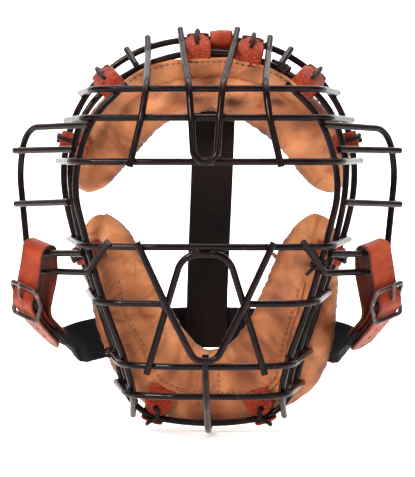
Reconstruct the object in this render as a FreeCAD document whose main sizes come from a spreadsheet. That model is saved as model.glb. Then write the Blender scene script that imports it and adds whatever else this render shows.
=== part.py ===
"""Wire catcher's mask with ear guards, laced leather pads and an elastic harness. Millimetres.

The frame: +Z up, +Y towards the wearer's head, +X to the right seen from the front. The origin is on the eye line,
in the plane of the rim wire that the pads are laced to, where the face looks out. The cage stands in front, at -Y.
"""

import FreeCAD
import Part
import math
import os

from FreeCAD import Base

DIMENSIONS = {
    # steel wire
    "wire_radius": 2.38,
    "weld_pitch": 4.7,
    "rim_overhang": 4.0,
    # leather pads
    "pad_centre_depth": 15.0,
    "pad_half_thickness": 16.0,
    "pad_skin": 2.0,
    "pad_gap": 0.15,
    # pad tabs and laces
    "tab_width": 17.0,
    "side_tab_width": 14.0,
    "tab_thickness": 2.0,
    "tab_hole_radius": 2.4,
    "lace_radius": 1.3,
    "knot_radius": 2.1,
    # side straps and buckles
    "strap_width": 24.0,
    "strap_thickness": 2.6,
    "strap_hole_radius": 1.4,
    "chape_thickness": 1.5,
    "buckle_bar_radius": 1.7,
    "buckle_half_height": 12.0,
    "buckle_half_width": 14.6,
    "buckle_rise": 3.6,
    "running_gap": 0.08,
    "tongue_radius": 1.3,
    "tongue_eye_width": 3.2,
    "tongue_slot": 4.6,
    # elastic harness
    "web_width": 32.0,
    "web_thickness": 2.0,
    "crown_loop_width": 16.0,
    "crown_loop_thickness": 2.4,
}

doc = FreeCAD.newDocument("catchers_mask")
sheet = doc.addObject("Spreadsheet::Sheet", "dims")
for row, (alias, value) in enumerate(DIMENSIONS.items(), start=1):
    sheet.set(f"A{row}", alias)
    sheet.set(f"B{row}", str(value))
    sheet.setAlias(f"B{row}", alias)
doc.recompute()

nodes = {}


def size(alias):
    """A driving dimension, read from the sheet."""
    return float(sheet.get(alias))


def vec(point):
    return Base.Vector(*point)


def mirrored(points):
    """The same points on the other side of the X = 0 plane."""
    return [(-x, y, z) for x, y, z in points]


def keep(name, feature):
    """Labels a finished sub-part with the name of its file."""
    feature.Label = name
    nodes[name] = feature
    return feature


# ---------------------------------------------------------------- paths and rods


def bent_edges(points, bend, closed=False):
    """Straight runs joined by tangent arcs. Each arc is as large as its two runs allow, up to the bend radius."""
    pts = [vec(p) for p in points]
    count = len(pts)
    bends = bend if isinstance(bend, list) else [bend] * count
    corners = []
    for i in range(count):
        if not closed and i in (0, count - 1):
            corners.append((pts[i], pts[i], None))
            continue
        before, at, after = pts[i - 1], pts[i], pts[(i + 1) % count]
        into, out = (at - before).normalize(), (after - at).normalize()
        turn = into.getAngle(out)
        if turn < 1e-4:
            corners.append((at, at, None))
            continue
        run = min((at - before).Length, (after - at).Length)
        radius = min(bends[i], 0.5 * run / math.tan(turn / 2))
        reach = radius * math.tan(turn / 2)
        start, end = at - into * reach, at + out * reach
        centre = at + (out - into).normalize() * (radius / math.cos(turn / 2))
        middle = centre + (at - centre).normalize() * radius
        corners.append((start, end, middle))
    edges = []
    for i in range(count):
        start, end, middle = corners[i]
        if middle is not None:
            edges.append(Part.Arc(start, middle, end).toShape())
        if i < count - 1 or closed:
            following = corners[(i + 1) % count][0]
            if (following - end).Length > 1e-6:
                edges.append(Part.LineSegment(end, following).toShape())
    return edges


def bent_wire(points, bend, closed=False):
    edges = bent_edges(points, bend, closed)
    if closed:
        edges = edges[1:] + edges[:1]
    return Part.Wire(edges)


def nearest_on(wire, target):
    """The point of a wire nearest to a target, and the wire's direction there."""
    vertex = Part.Vertex(target)
    edge = min(wire.Edges, key=lambda e: e.distToShape(vertex)[0])
    point = edge.distToShape(vertex)[1][0][0]
    return point, edge.tangentAt(edge.Curve.parameter(point))


def facing(direction):
    """The rotation that turns +Z to a direction."""
    return Base.Rotation(Base.Vector(0, 0, 1), vec(direction))


def rod(name, points, bend=400.0, closed=False, radius="wire_radius"):
    """A round bar bent along a path: a circle, sized by the sheet, swept along it."""
    path = doc.addObject("Part::Feature", name + "_path")
    path.Shape = bent_wire(points, bend, closed)
    first = path.Shape.OrderedEdges[0]
    start = first.valueAt(first.FirstParameter)
    tangent = first.tangentAt(first.FirstParameter)
    if first.Orientation == "Reversed":
        start, tangent = first.valueAt(first.LastParameter), first.tangentAt(first.LastParameter) * -1
    section = doc.addObject("Part::Circle", name + "_section")
    section.setExpression("Radius", f"dims.{radius}")
    section.Placement = Base.Placement(start, facing(tangent))
    sweep = doc.addObject("Part::Sweep", name)
    sweep.Sections = [section]
    sweep.Spine = (path, [])
    sweep.Solid = True
    sweep.Frenet = False
    return sweep


def grouped(name, features):
    """Several separate solids that share one node."""
    group = doc.addObject("Part::Compound", name)
    group.Links = features
    return group


# ---------------------------------------------------------------- the cage

RIM = [
    (25, 117), (60, 106), (88, 82), (104, 50), (108.5, 14), (101, -24),
    (86.5, -64), (71, -110), (62, -146), (46, -162), (16, -167),
]
INNER_RIM = [
    (18, -11, 106.5), (46, -12, 98), (65, -15, 87), (80.5, -18, 75), (92.5, -20, 57), (100, -21, 28),
    (99.3, -21, 5), (92.6, -21, -30), (80.3, -21, -69), (64.5, -20, -113), (57.6, -17, -137), (54.6, -1, -151),
]
SIDE_WIRE = [
    (55, -65.6, 82), (77, -66, 61), (87, -66, 38), (92.3, -66, 8), (82.8, -66, -30),
    (72.2, -66, -69), (56.4, -62, -113), (52.2, -46.8, -137), (54.5, -22, -151), (56, -5, -160),
]
# name: height, half width at the rim, half width and depth at the front corner, depth in the middle
CAGE_BARS = {
    "brow_bar_top": (78, 90.2, 78, -68, -73),
    "brow_bar_low": (58, 100.7, 83, -76, -82),
    "eye_bar_top": (28, 107.1, 91, -80, -87),
    "eye_bar_low": (-30, 98.9, 85, -80, -87),
    "mouth_bar": (-113, 70.8, 59, -73, -80),
    "chin_bar": (-137, 64.8, 56, -55, -61),
}
CHEEK_BAR = (-69, 84.9, 75, -79, -84.5)
BAR_CORNER = 24.0


def bar_points(height, rim_half, corner_half, corner_depth, middle_depth):
    """One cage bar: from behind the rim, forward along the side, round the corner and across the bowed front."""
    outside = rim_half + size("weld_pitch")
    flat = 0.4 * corner_half
    right = [
        (outside, size("rim_overhang"), height),
        (corner_half, corner_depth, height),
        (flat, middle_depth, height),
    ]
    return right + mirrored(reversed(right))


def make_rims():
    rim = [(x, 0, z) for x, z in reversed(RIM)] + [(-x, 0, z) for x, z in RIM]
    keep("rim_wire", rod("rim_wire", rim, closed=True))
    inner = list(reversed(INNER_RIM)) + mirrored(INNER_RIM)
    keep("inner_rim_wire", rod("inner_rim_wire", inner))
    keep("right_side_wire", rod("right_side_wire", SIDE_WIRE))
    keep("left_side_wire", rod("left_side_wire", mirrored(SIDE_WIRE)))


def make_cross_bars():
    for name, numbers in CAGE_BARS.items():
        keep(name, rod(name, bar_points(*numbers), bend=BAR_CORNER))
    right = bar_points(*CHEEK_BAR)[:3]
    right[2] = (27.9, CHEEK_BAR[4], CHEEK_BAR[0])
    keep("right_cheek_bar", rod("right_cheek_bar", right, bend=BAR_CORNER))
    keep("left_cheek_bar", rod("left_cheek_bar", mirrored(right), bend=BAR_CORNER))


def make_upright_bars():
    """The bars that run down over the cross bars, from the crown to the chin."""
    crown = [(45, 3, 118.6), (43.6, -13.5, 106.4), (40.5, -77.6, 80), (43.5, -85.7, 58), (51.3, -90, 24.5)]
    keep("right_crown_bar", rod("right_crown_bar", crown, bend=25))
    keep("left_crown_bar", rod("left_crown_bar", mirrored(crown), bend=25))
    loop = [(21, 3, 124.6), (18.9, -12.5, 113.2), (11.6, -79.4, 80), (9.6, -87, 58), (7.8, -91.7, 28)]
    keep("brow_loop_bar", rod("brow_loop_bar", loop + mirrored(reversed(loop)), bend=25))
    arch = [(40.8, -81.2, -118), (15.5, -87, -34.7)]
    keep("nose_arch_bar", rod("nose_arch_bar", arch + mirrored(reversed(arch)), bend=15))
    vee = [(46.5, -90.1, -26.5), (27, -89.4, -69), (7.5, -89.5, -107.5)]
    keep("mouth_vee_bar", rod("mouth_vee_bar", vee + mirrored(reversed(vee)), bend=9.5))
    post = [(0, -84.8, -104), (0, -84.8, -117), (0, -63, -141), (0, -20, -169), (0, 3, -171.9)]
    keep("chin_post", rod("chin_post", post, bend=60))
    tie = [(60.2, -1, 109.8), (52, -19, 97.3)]
    ties = [rod("right_tie", tie), rod("left_tie", mirrored(tie))]
    keep("crown_ties", grouped("crown_ties", ties))


EAR_INNER_LOW = (81.8, -69.0, -49.0)
EAR_LOOPS = {
    "right": [
        (80, -77.5, 53.2), (130.2, -18.2, 51), (135.5, -13, 20), (130.4, -17.3, -30),
        (129.2, -18, -51.8), EAR_INNER_LOW, (66.5, -87.2, -26.5),
    ],
    "left": [
        (80, -77.5, 53.2), (133, -15, 52.2), (138.3, -9.7, 20), (133.2, -14, -30),
        (132, -15, -52), EAR_INNER_LOW, (66.5, -87.2, -26.5),
    ],
}
EAR_BENDS = [0, 26, 60, 90, 8, 8, 0]
EAR_CROSS_BARS = {
    "right": [
        [(91.6, -69.2, 36.5), (138.5, -16.3, 35.6)],
        [(95.3, -69.2, 0), (139.2, -14.8, -3.3)],
        [(85.6, -69.2, -35.5), (128.6, -19, -39.3)],
    ],
    "left": [
        [(91.6, -69.2, 36.5), (141.2, -13.2, 35.5)],
        [(95.3, -69.2, 0), (140.6, -13, -3.4)],
        [(85.6, -69.2, -35.5), (131.4, -15.7, -39.5)],
    ],
}


def make_ear_guards():
    for side, turn in (("right", list), ("left", mirrored)):
        loop = rod(f"{side}_ear_guard_loop", turn(EAR_LOOPS[side]), bend=EAR_BENDS)
        keep(f"{side}_ear_guard_loop", loop)
        bars = [rod(f"{side}_ear_bar_{i}", turn(bar)) for i, bar in enumerate(EAR_CROSS_BARS[side])]
        keep(f"{side}_ear_guard_bars", grouped(f"{side}_ear_guard_bars", bars))


# ---------------------------------------------------------------- the pads

# along one half of each pad's middle line: x, z, half width across the line, share of the full thickness
FOREHEAD_PAD = [
    (0, 85, 20.5, 1), (30, 80.5, 20.5, 1), (56, 67, 22, 1), (74, 48, 22, 1), (84, 31, 20.5, 0.96),
    (88, 19, 16, 0.8), (89.5, 12, 11, 0.55), (90, 8, 5, 0.3),
]
CHIN_PAD = [
    (0, -133, 24, 1), (22, -128.5, 26, 1), (44, -115, 29, 1), (55, -93, 27, 1), (63, -70, 25, 1),
    (71.5, -45, 22.5, 1), (75.5, -29, 18, 0.9), (77, -19, 12, 0.6), (77.5, -14.5, 5.5, 0.3),
]
PAD_BEND = 60.0


def pad_solid(name, half, inset):
    """A closed pad: an ellipse that widens and narrows as it follows the pad's middle line."""
    stations = [(-x, z, width, share) for x, z, width, share in reversed(half[1:])] + half
    depth = Base.Vector(0, 1, 0)
    path = doc.addObject("Part::Feature", name + "_path")
    path.Shape = bent_wire([(x, size("pad_centre_depth"), z) for x, z, width, share in stations], PAD_BEND)
    sections = []
    for i, (x, z, width, share) in enumerate(stations):
        point, tangent = nearest_on(path.Shape, Base.Vector(x, size("pad_centre_depth"), z))
        ellipse = doc.addObject("Part::Ellipse", f"{name}_section_{i}")
        ellipse.setExpression("MajorRadius", f"{width} - {inset}")
        share = share if share == 1 else 0.98 * share
        ellipse.setExpression("MinorRadius", f"dims.pad_half_thickness * {share} - {inset}")
        ellipse.Placement = Base.Placement(point, Base.Rotation(depth.cross(tangent), depth, tangent, "ZXY"))
        sections.append(ellipse)
    sweep = doc.addObject("Part::Sweep", name)
    sweep.Sections = sections
    sweep.Spine = (path, [])
    sweep.Solid = True
    sweep.Frenet = False
    return sweep


def make_pads():
    """Each pad is a sewn leather cover, modelled hollow, with its stuffing inside."""
    for name, half in (("forehead_pad", FOREHEAD_PAD), ("chin_pad", CHIN_PAD)):
        outer = pad_solid(f"{name}_outside", half, "0")
        hollow = pad_solid(f"{name}_hollow", half[:-2], "dims.pad_skin")
        cover = doc.addObject("Part::Cut", f"{name}_cover")
        cover.Base = outer
        cover.Tool = hollow
        keep(f"{name}_cover", cover)
        keep(f"{name}_stuffing", pad_solid(f"{name}_stuffing", half[:-2], "(dims.pad_skin + dims.pad_gap)"))


# ---------------------------------------------------------------- strips of leather and webbing


def strip(name, points, bends, across, width, thickness):
    """A flat strap bent along a path that stays square to its width."""
    path = doc.addObject("Part::Feature", name + "_path")
    path.Shape = bent_wire(points, bends)
    first = path.Shape.OrderedEdges[0]
    tangent = first.tangentAt(first.FirstParameter)
    across = vec(across).normalize()
    normal = tangent.cross(across).normalize()
    section = doc.addObject("Part::Plane", name + "_section")
    section.setExpression("Length", f"dims.{width}")
    section.setExpression("Width", f"dims.{thickness}")
    corner = vec(points[0]) - across * (size(width) / 2) - normal * (size(thickness) / 2)
    section.Placement = Base.Placement(corner, Base.Rotation(across, normal, tangent, "XYZ"))
    sweep = doc.addObject("Part::Sweep", name)
    sweep.Sections = [section]
    sweep.Spine = (path, [])
    sweep.Solid = True
    sweep.Frenet = False
    return sweep


def pin(name, start, direction, length, radius):
    """A straight round bar, or the tool that bores such a hole."""
    bar = doc.addObject("Part::Cylinder", name)
    bar.Height = length
    bar.setExpression("Radius", f"dims.{radius}")
    bar.Placement = Base.Placement(vec(start), facing(direction))
    return bar


def ball(name, centre, radius):
    knot = doc.addObject("Part::Sphere", name)
    knot.setExpression("Radius", f"dims.{radius}")
    knot.Placement = Base.Placement(vec(centre), Base.Rotation())
    return knot


def cut(name, base, tools):
    """The base with every tool taken out of it."""
    if len(tools) > 1:
        joined = doc.addObject("Part::MultiFuse", name + "_tools")
        joined.Shapes = tools
        tools = [joined]
    result = doc.addObject("Part::Cut", name)
    result.Base = base
    result.Tool = tools[0]
    return result


def fused(name, features):
    result = doc.addObject("Part::MultiFuse", name)
    result.Shapes = features
    return result


# ---------------------------------------------------------------- pad tabs and laces

# paths across the rim wire, as distance out from it and depth behind it
OVER_BOTH_WIRES = [(-22, -1.2), (-16, -14.6), (-11.4, -16.6), (-6.5, -15), (3.9, -3.6), (3.9, 3.9), (-8, 4.6)]
OVER_WIDE_WIRES = [(-22, -1.2), (-16.5, -19.6), (-11.4, -22.2), (-6.5, -20), (3.9, -3.8), (3.9, 3.9), (-8, 4.6)]
OVER_RIM = [(-17, -2.6), (-6, -3.9), (3.9, -3.9), (3.9, 3.9), (-4, 3.9)]
OVER_RIM_LONG = [(-21, 0.5), (-13, -3.6), (-6, -3.9), (3.9, -3.9), (3.9, 3.9), (-12, 4.4)]
TAB_BENDS = 4.0
LACE_OVER_BOTH = [(-2.6, -6.4), (-4.4, -13.6), (-2.0, -14.4), (6.6, -4.8), (6.6, 6.9), (-3.5, 7.2), (-3.6, 2.9)]
LACE_OVER_WIDE = [(-2.6, -8.4), (-5.4, -19.2), (-3.0, -20.4), (6.8, -5.2), (6.6, 6.9), (-3.5, 7.2), (-3.6, 2.9)]
LACE_OVER_RIM = [(-7.2, 0), (-7.2, -5.6), (-6.5, -6.8), (6.8, -6.8), (6.8, 5.6)]

# name: x and z near the rim wire, the tab path, its width, its lace path
TABS = {
    "crown_tab_left": (-7.7, 119, OVER_BOTH_WIRES, "tab_width", LACE_OVER_BOTH),
    "crown_tab_right": (32.2, 114, OVER_BOTH_WIRES, "tab_width", LACE_OVER_BOTH),
    "temple_tab_left": (-77, 91, OVER_WIDE_WIRES, "tab_width", LACE_OVER_WIDE),
    "temple_tab_right": (77, 91, OVER_WIDE_WIRES, "tab_width", LACE_OVER_WIDE),
    "brow_tab_left": (-106, 43, OVER_RIM, "side_tab_width", LACE_OVER_RIM),
    "brow_tab_right": (106, 43, OVER_RIM, "side_tab_width", LACE_OVER_RIM),
    "cheek_tab_left": (-96, -42, OVER_RIM, "side_tab_width", LACE_OVER_RIM),
    "cheek_tab_right": (96, -42, OVER_RIM, "side_tab_width", LACE_OVER_RIM),
    "jaw_tab_left": (-42, -163, OVER_RIM_LONG, "tab_width", LACE_OVER_RIM),
    "jaw_tab_right": (42, -163, OVER_RIM_LONG, "tab_width", LACE_OVER_RIM),
}


def rim_station(x, z):
    """The nearest point of the rim wire's middle line, the way it runs there and the way out from it."""
    rim = [(a, 0, b) for a, b in reversed(RIM)] + [(-a, 0, b) for a, b in RIM]
    point, tangent = nearest_on(bent_wire(rim, 400, closed=True), Base.Vector(x, 0, z))
    out = Base.Vector(tangent.z, 0, -tangent.x)
    if out.dot(point) < 0:
        out = out * -1
    return point, tangent, out


def make_tabs():
    laces = []
    for name, (x, z, profile, width, lace_profile) in TABS.items():
        point, tangent, out = rim_station(x, z)
        depth = Base.Vector(0, 1, 0)
        path = [point + out * r + depth * y for r, y in profile]
        tab = strip(name + "_leather", path, TAB_BENDS, tangent, width, "tab_thickness")
        lace_path = [point + out * r + depth * y for r, y in lace_profile]
        lace = rod(name + "_cord", lace_path, bend=3.0, radius="lace_radius")
        knot = ball(name + "_knot", lace_path[0], "knot_radius")
        laces.append(fused(name + "_lace", [lace, knot]))
        bores = []
        for i in (0, len(lace_path) - 1):
            inner, outer = (0, 1) if i == 0 else (-1, -2)
            start = lace_path[inner]
            way = (lace_path[outer] - start).normalize()
            bores.append(pin(f"{name}_hole_{i}", start - way * 2.5, way, 12, "tab_hole_radius"))
        keep(name, cut(name, tab, bores))
    keep("pad_laces", grouped("pad_laces", laces))


# ---------------------------------------------------------------- side straps, chapes and buckles

# where the right strap crosses its wire, and its own axes: along the buckle bars, outwards, and up the strap
STRAP_ORIGIN = Base.Vector(121, -26.8, -38.6)
STRAP_ALONG = Base.Vector(0.701, 0.681, 0.211).normalize()
STRAP_OUT = STRAP_ALONG.cross(Base.Vector(0, -0.295, 0.955)).normalize()
STRAP_UP = STRAP_OUT.cross(STRAP_ALONG)
# the way the two wires run inside the strap, and how far each strap sits along them
WIRE_RUN = Base.Vector(0.665, 0.746, -0.049)
STRAP_SLIDE = {1: -4.2, -1: 0.0}
# the buckle's middle bar, out and up from the origin
BUCKLE = (13.0, -33.0)
# below the buckle everything lies along this slope, out and up per millimetre
LAY = (-0.6, -0.8)
LAY_OUT = (0.8, -0.6)
LAY_START = (-6.2, -14.0)


def strap_point(side, out, up, along=0.0):
    origin = STRAP_ORIGIN + WIRE_RUN * STRAP_SLIDE[side]
    point = origin + STRAP_OUT * out + STRAP_UP * up + STRAP_ALONG * along
    return Base.Vector(side * point.x, point.y, point.z)


def strap_way(side, vector):
    return Base.Vector(side * vector.x, vector.y, vector.z)


def from_bar(out, up):
    """Out and up from the buckle's middle bar."""
    return (BUCKLE[0] + out, BUCKLE[1] + up)


def laid(offset, distance):
    """A point of a layer below the buckle: how far outwards it lies, and how far along."""
    out = LAY_START[0] + LAY_OUT[0] * offset + LAY[0] * distance
    up = LAY_START[1] + LAY_OUT[1] * offset + LAY[1] * distance
    return from_bar(out, up)


STRAP_PATH = [
    laid(-4.05, 24), laid(-4.05, 0), (-5.5, -14), (-5.5, 7.8), (5.6, 7.8), (9.6, -9),
    from_bar(-0.3, 12), from_bar(4.9, 2.5), from_bar(4.9, -2.5), from_bar(-0.3, -12), laid(4.5, 4), laid(4.5, 34),
]
STRAP_BENDS = [0, 14, 12, 5, 5, 30, 20, 8, 8, 12, 12, 0]
STRAP_HOLES = [laid(4.5, 9), laid(4.5, 19), laid(4.5, 29)]


def strap_loop(side, name):
    path = [strap_point(side, *p) for p in STRAP_PATH]
    along = strap_way(side, STRAP_ALONG)
    leather = strip(name + "_leather", path, STRAP_BENDS, along, "strap_width", "strap_thickness")
    lay_out = STRAP_OUT * LAY_OUT[0] + STRAP_UP * LAY_OUT[1]
    bores = []
    for i, hole in enumerate(STRAP_HOLES):
        way = strap_way(side, lay_out)
        start = strap_point(side, *hole) - way * 2.2
        bores.append(pin(f"{name}_hole_{i}", start, way, 4.4, "strap_hole_radius"))
    slot = doc.addObject("Part::Box", name + "_tongue_hole")
    slot.setExpression("Length", "dims.tongue_radius * 2 + 1.0")
    slot.Width = 8.4
    slot.Height = 4.4
    half = size("tongue_radius") + 0.5
    corner = strap_point(side, *from_bar(2.8, -3.0), along=-side * half)
    axes = (along * side, strap_way(side, STRAP_UP), strap_way(side, STRAP_OUT))
    slot.Placement = Base.Placement(corner, Base.Rotation(*axes, "XYZ"))
    bores.append(slot)
    return cut(name, leather, bores)


def chape(side, name):
    """The short folded leather that holds the buckle's middle bar and the end of the elastic."""
    wrap = size("buckle_bar_radius") + size("running_gap") + size("chape_thickness") / 2
    half = [laid(1.85, 30), laid(1.85, 2), from_bar(wrap, -1.5), from_bar(wrap, wrap)]
    back = [from_bar(-wrap, wrap), from_bar(-wrap, -1.5), laid(-1.85, 2), laid(-1.85, 30)]
    path = [strap_point(side, *p) for p in half + back]
    along = strap_way(side, STRAP_ALONG)
    bends = [0, 8, 8, wrap, wrap, 8, 8, 0]
    leather = strip(name + "_leather", path, bends, along, "strap_width", "chape_thickness")
    slot = doc.addObject("Part::Box", name + "_tongue_slot")
    slot.setExpression("Length", "dims.tongue_slot")
    slot.Width = 10
    slot.Height = 12
    half_slot = size("tongue_slot") / 2
    corner = strap_point(side, *from_bar(-6, -5), along=-side * half_slot)
    axes = (along * side, strap_way(side, STRAP_UP), strap_way(side, STRAP_OUT))
    slot.Placement = Base.Placement(corner, Base.Rotation(*axes, "XYZ"))
    return cut(name, leather, [slot])


def buckle_frame(side, name):
    """A wire rectangle bowed away from its middle bar."""
    wide, high, rise = size("buckle_half_width"), size("buckle_half_height"), size("buckle_rise")
    ends = [strap_point(side, *BUCKLE, along=wide), strap_point(side, *BUCKLE, along=-wide)]
    pieces = [rod(name + "_bar", ends, radius="buckle_bar_radius")]
    pieces += [ball(f"{name}_end_{i}", end, "buckle_bar_radius") for i, end in enumerate(ends)]
    for word, up in (("top", high), ("foot", -high)):
        corners = [strap_point(side, *from_bar(rise, up), along=reach) for reach in (wide, -wide)]
        pieces.append(rod(f"{name}_{word}", [ends[0], *corners, ends[1]], bend=3.5, radius="buckle_bar_radius"))
    return fused(name, pieces)


def buckle_tongue(side, name):
    """An eye round the middle bar and a prong that rests on the top of the frame."""
    width = size("tongue_eye_width")
    along = strap_way(side, STRAP_ALONG)
    start = strap_point(side, *BUCKLE, along=-width / 2)
    eye = doc.addObject("Part::Cylinder", name + "_eye")
    eye.setExpression("Radius", "dims.buckle_bar_radius + 1.5")
    eye.setExpression("Height", "dims.tongue_eye_width")
    eye.Placement = Base.Placement(start, facing(along))
    bore = doc.addObject("Part::Cylinder", name + "_bore")
    bore.setExpression("Radius", "dims.buckle_bar_radius + dims.running_gap")
    bore.setExpression("Height", "dims.tongue_eye_width + 4")
    bore.Placement = Base.Placement(start - along * 2, facing(along))
    prong = [from_bar(2.4, 0.8), from_bar(7.8, 4.6), from_bar(6.8, 15.0)]
    path = [strap_point(side, *p) for p in prong]
    shank = rod(name + "_shank", path, bend=5, radius="tongue_radius")
    return cut(name, fused(name + "_blank", [eye, shank]), [bore])


def make_straps():
    for side, word in ((1, "right"), (-1, "left")):
        keep(f"{word}_side_strap", strap_loop(side, f"{word}_side_strap"))
        keep(f"{word}_chape", chape(side, f"{word}_chape"))
        keep(f"{word}_buckle_frame", buckle_frame(side, f"{word}_buckle_frame"))
        keep(f"{word}_buckle_tongue", buckle_tongue(side, f"{word}_buckle_tongue"))


# ---------------------------------------------------------------- elastic harness


def web(name, sections, width="web_width", thickness="web_thickness"):
    """Webbing lofted through flat sections, each given by its centre, its width direction and its travel."""
    planes = []
    for i, (centre, across, travel) in enumerate(sections):
        across, travel = vec(across).normalize(), vec(travel).normalize()
        normal = travel.cross(across).normalize()
        across = normal.cross(travel)
        plane = doc.addObject("Part::Plane", f"{name}_section_{i}")
        plane.setExpression("Length", f"dims.{width}")
        plane.setExpression("Width", f"dims.{thickness}")
        corner = vec(centre) - across * (size(width) / 2) - normal * (size(thickness) / 2)
        plane.Placement = Base.Placement(corner, Base.Rotation(across, normal, travel, "XYZ"))
        planes.append(plane)
    loft = doc.addObject("Part::Loft", name)
    loft.Sections = planes
    loft.Solid = True
    return loft


def make_harness():
    up = (0, 0, 1)
    lay = STRAP_OUT * LAY[0] + STRAP_UP * LAY[1]
    for side, word in ((1, "right"), (-1, "left")):
        along, way = strap_way(side, STRAP_ALONG), strap_way(side, lay)
        sections = [(strap_point(side, *laid(0, s)), along, way) for s in (12, 22, 32)]
        sections += [
            ((side * 104, 19, -111), (side * 0.5, 0.4, 0.75), (side * -0.45, 0.85, -0.2)),
            ((side * 92, 38, -110), (side * 0.12, 0.1, 1), (side * -0.62, 0.78, 0)),
            ((side * 62, 60, -106), up, (side * -0.85, 0.5, 0)),
            ((side * 24.3, 70, -104), up, (side * -1, 0, 0)),
        ]
        keep(f"head_band_{word}", web(f"head_band_{word}", sections))
    keep("head_band_centre", web("head_band_centre", [
        ((24, 70, -104), up, (-1, 0, 0)), ((-24, 70, -104), up, (-1, 0, 0)),
    ]))
    keep("crown_strap_foot", web("crown_strap_foot", [
        ((-3, 66.2, -84), (1, 0, 0), (0, 0.08, -1)), ((-3, 67.4, -98), (1, 0, 0), (0, 0.04, -1)),
        ((-3, 67.8, -119.5), (1, 0, 0), (0, 0, -1)),
    ]))
    keep("crown_strap", web("crown_strap", [
        ((9, 19, 117.6), (1, 0, 0), (0, 0.98, -0.2)), ((8, 28, 115.8), (1, 0, 0), (0, 0.94, -0.34)),
        ((6, 36.5, 106), (1, 0, 0), (0, 0.3, -0.95)), ((4, 38.5, 84), (1, 0, 0), (0, 0.06, -1)),
        ((1, 45, 10), (1, 0, 0), (0, 0.16, -1)), ((-2, 60, -55), (1, 0, 0), (0, 0.22, -1)),
        ((-3, 66.2, -83.7), (1, 0, 0), (0, 0.08, -1)),
    ]))
    reach = [
        (9.2, 28, 118.4), (9.2, 14, 121.2), (9.2, 4.4, 122.6), (9.2, -4.4, 122), (9.2, -4.4, 112.1),
        (9.2, 4.0, 112.1), (9.2, 8, 115.6), (9.2, 14, 116.3), (9.2, 28, 113.4),
    ]
    keep("crown_loop", strip("crown_loop", reach, 4.0, (1, 0, 0), "crown_loop_width", "crown_loop_thickness"))


make_rims()
make_cross_bars()
make_upright_bars()
make_ear_guards()
make_pads()
make_tabs()
make_straps()
make_harness()
doc.recompute()

for item in doc.Objects:
    if "Invalid" in item.State or "Error" in item.State:
        raise RuntimeError(f"{item.Label} did not compute: {item.State}")

os.makedirs("parts", exist_ok=True)
for name, feature in nodes.items():
    shape = feature.Shape
    if shape.isNull() or not shape.isValid() or not shape.Solids:
        raise RuntimeError(f"{name} is not a sound solid")
    shape.exportStep(f"parts/{name}.step")
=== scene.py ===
"""Looks of the wire catcher's mask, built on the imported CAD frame. Metres, +Z up, the wearer's head at +Y."""

import math

import bmesh
import bpy
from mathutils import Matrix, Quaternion, Vector, geometry, noise
from mathutils.bvhtree import BVHTree


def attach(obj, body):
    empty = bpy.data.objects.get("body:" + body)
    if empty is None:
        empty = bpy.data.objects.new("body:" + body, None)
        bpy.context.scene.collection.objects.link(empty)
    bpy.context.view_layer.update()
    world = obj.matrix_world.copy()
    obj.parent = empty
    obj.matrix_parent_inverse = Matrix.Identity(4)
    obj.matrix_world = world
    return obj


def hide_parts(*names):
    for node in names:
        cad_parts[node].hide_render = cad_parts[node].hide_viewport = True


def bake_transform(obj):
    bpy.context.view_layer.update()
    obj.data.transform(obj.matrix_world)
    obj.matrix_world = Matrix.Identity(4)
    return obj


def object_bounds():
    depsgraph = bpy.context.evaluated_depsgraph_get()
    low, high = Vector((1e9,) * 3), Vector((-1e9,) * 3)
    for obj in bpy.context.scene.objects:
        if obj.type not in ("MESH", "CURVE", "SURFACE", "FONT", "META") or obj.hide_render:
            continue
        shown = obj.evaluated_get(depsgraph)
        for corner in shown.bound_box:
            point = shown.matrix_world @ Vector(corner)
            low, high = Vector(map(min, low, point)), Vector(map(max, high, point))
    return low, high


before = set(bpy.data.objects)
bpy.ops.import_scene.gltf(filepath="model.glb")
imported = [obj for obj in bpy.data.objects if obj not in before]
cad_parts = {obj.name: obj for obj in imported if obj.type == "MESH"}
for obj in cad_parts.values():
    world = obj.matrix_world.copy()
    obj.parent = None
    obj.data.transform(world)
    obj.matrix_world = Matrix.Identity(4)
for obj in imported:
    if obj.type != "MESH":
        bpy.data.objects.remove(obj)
cad_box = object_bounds()
MM = 0.001


def vec(*p):
    return Vector(p)


# ---------------------------------------------------------------- node materials


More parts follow.
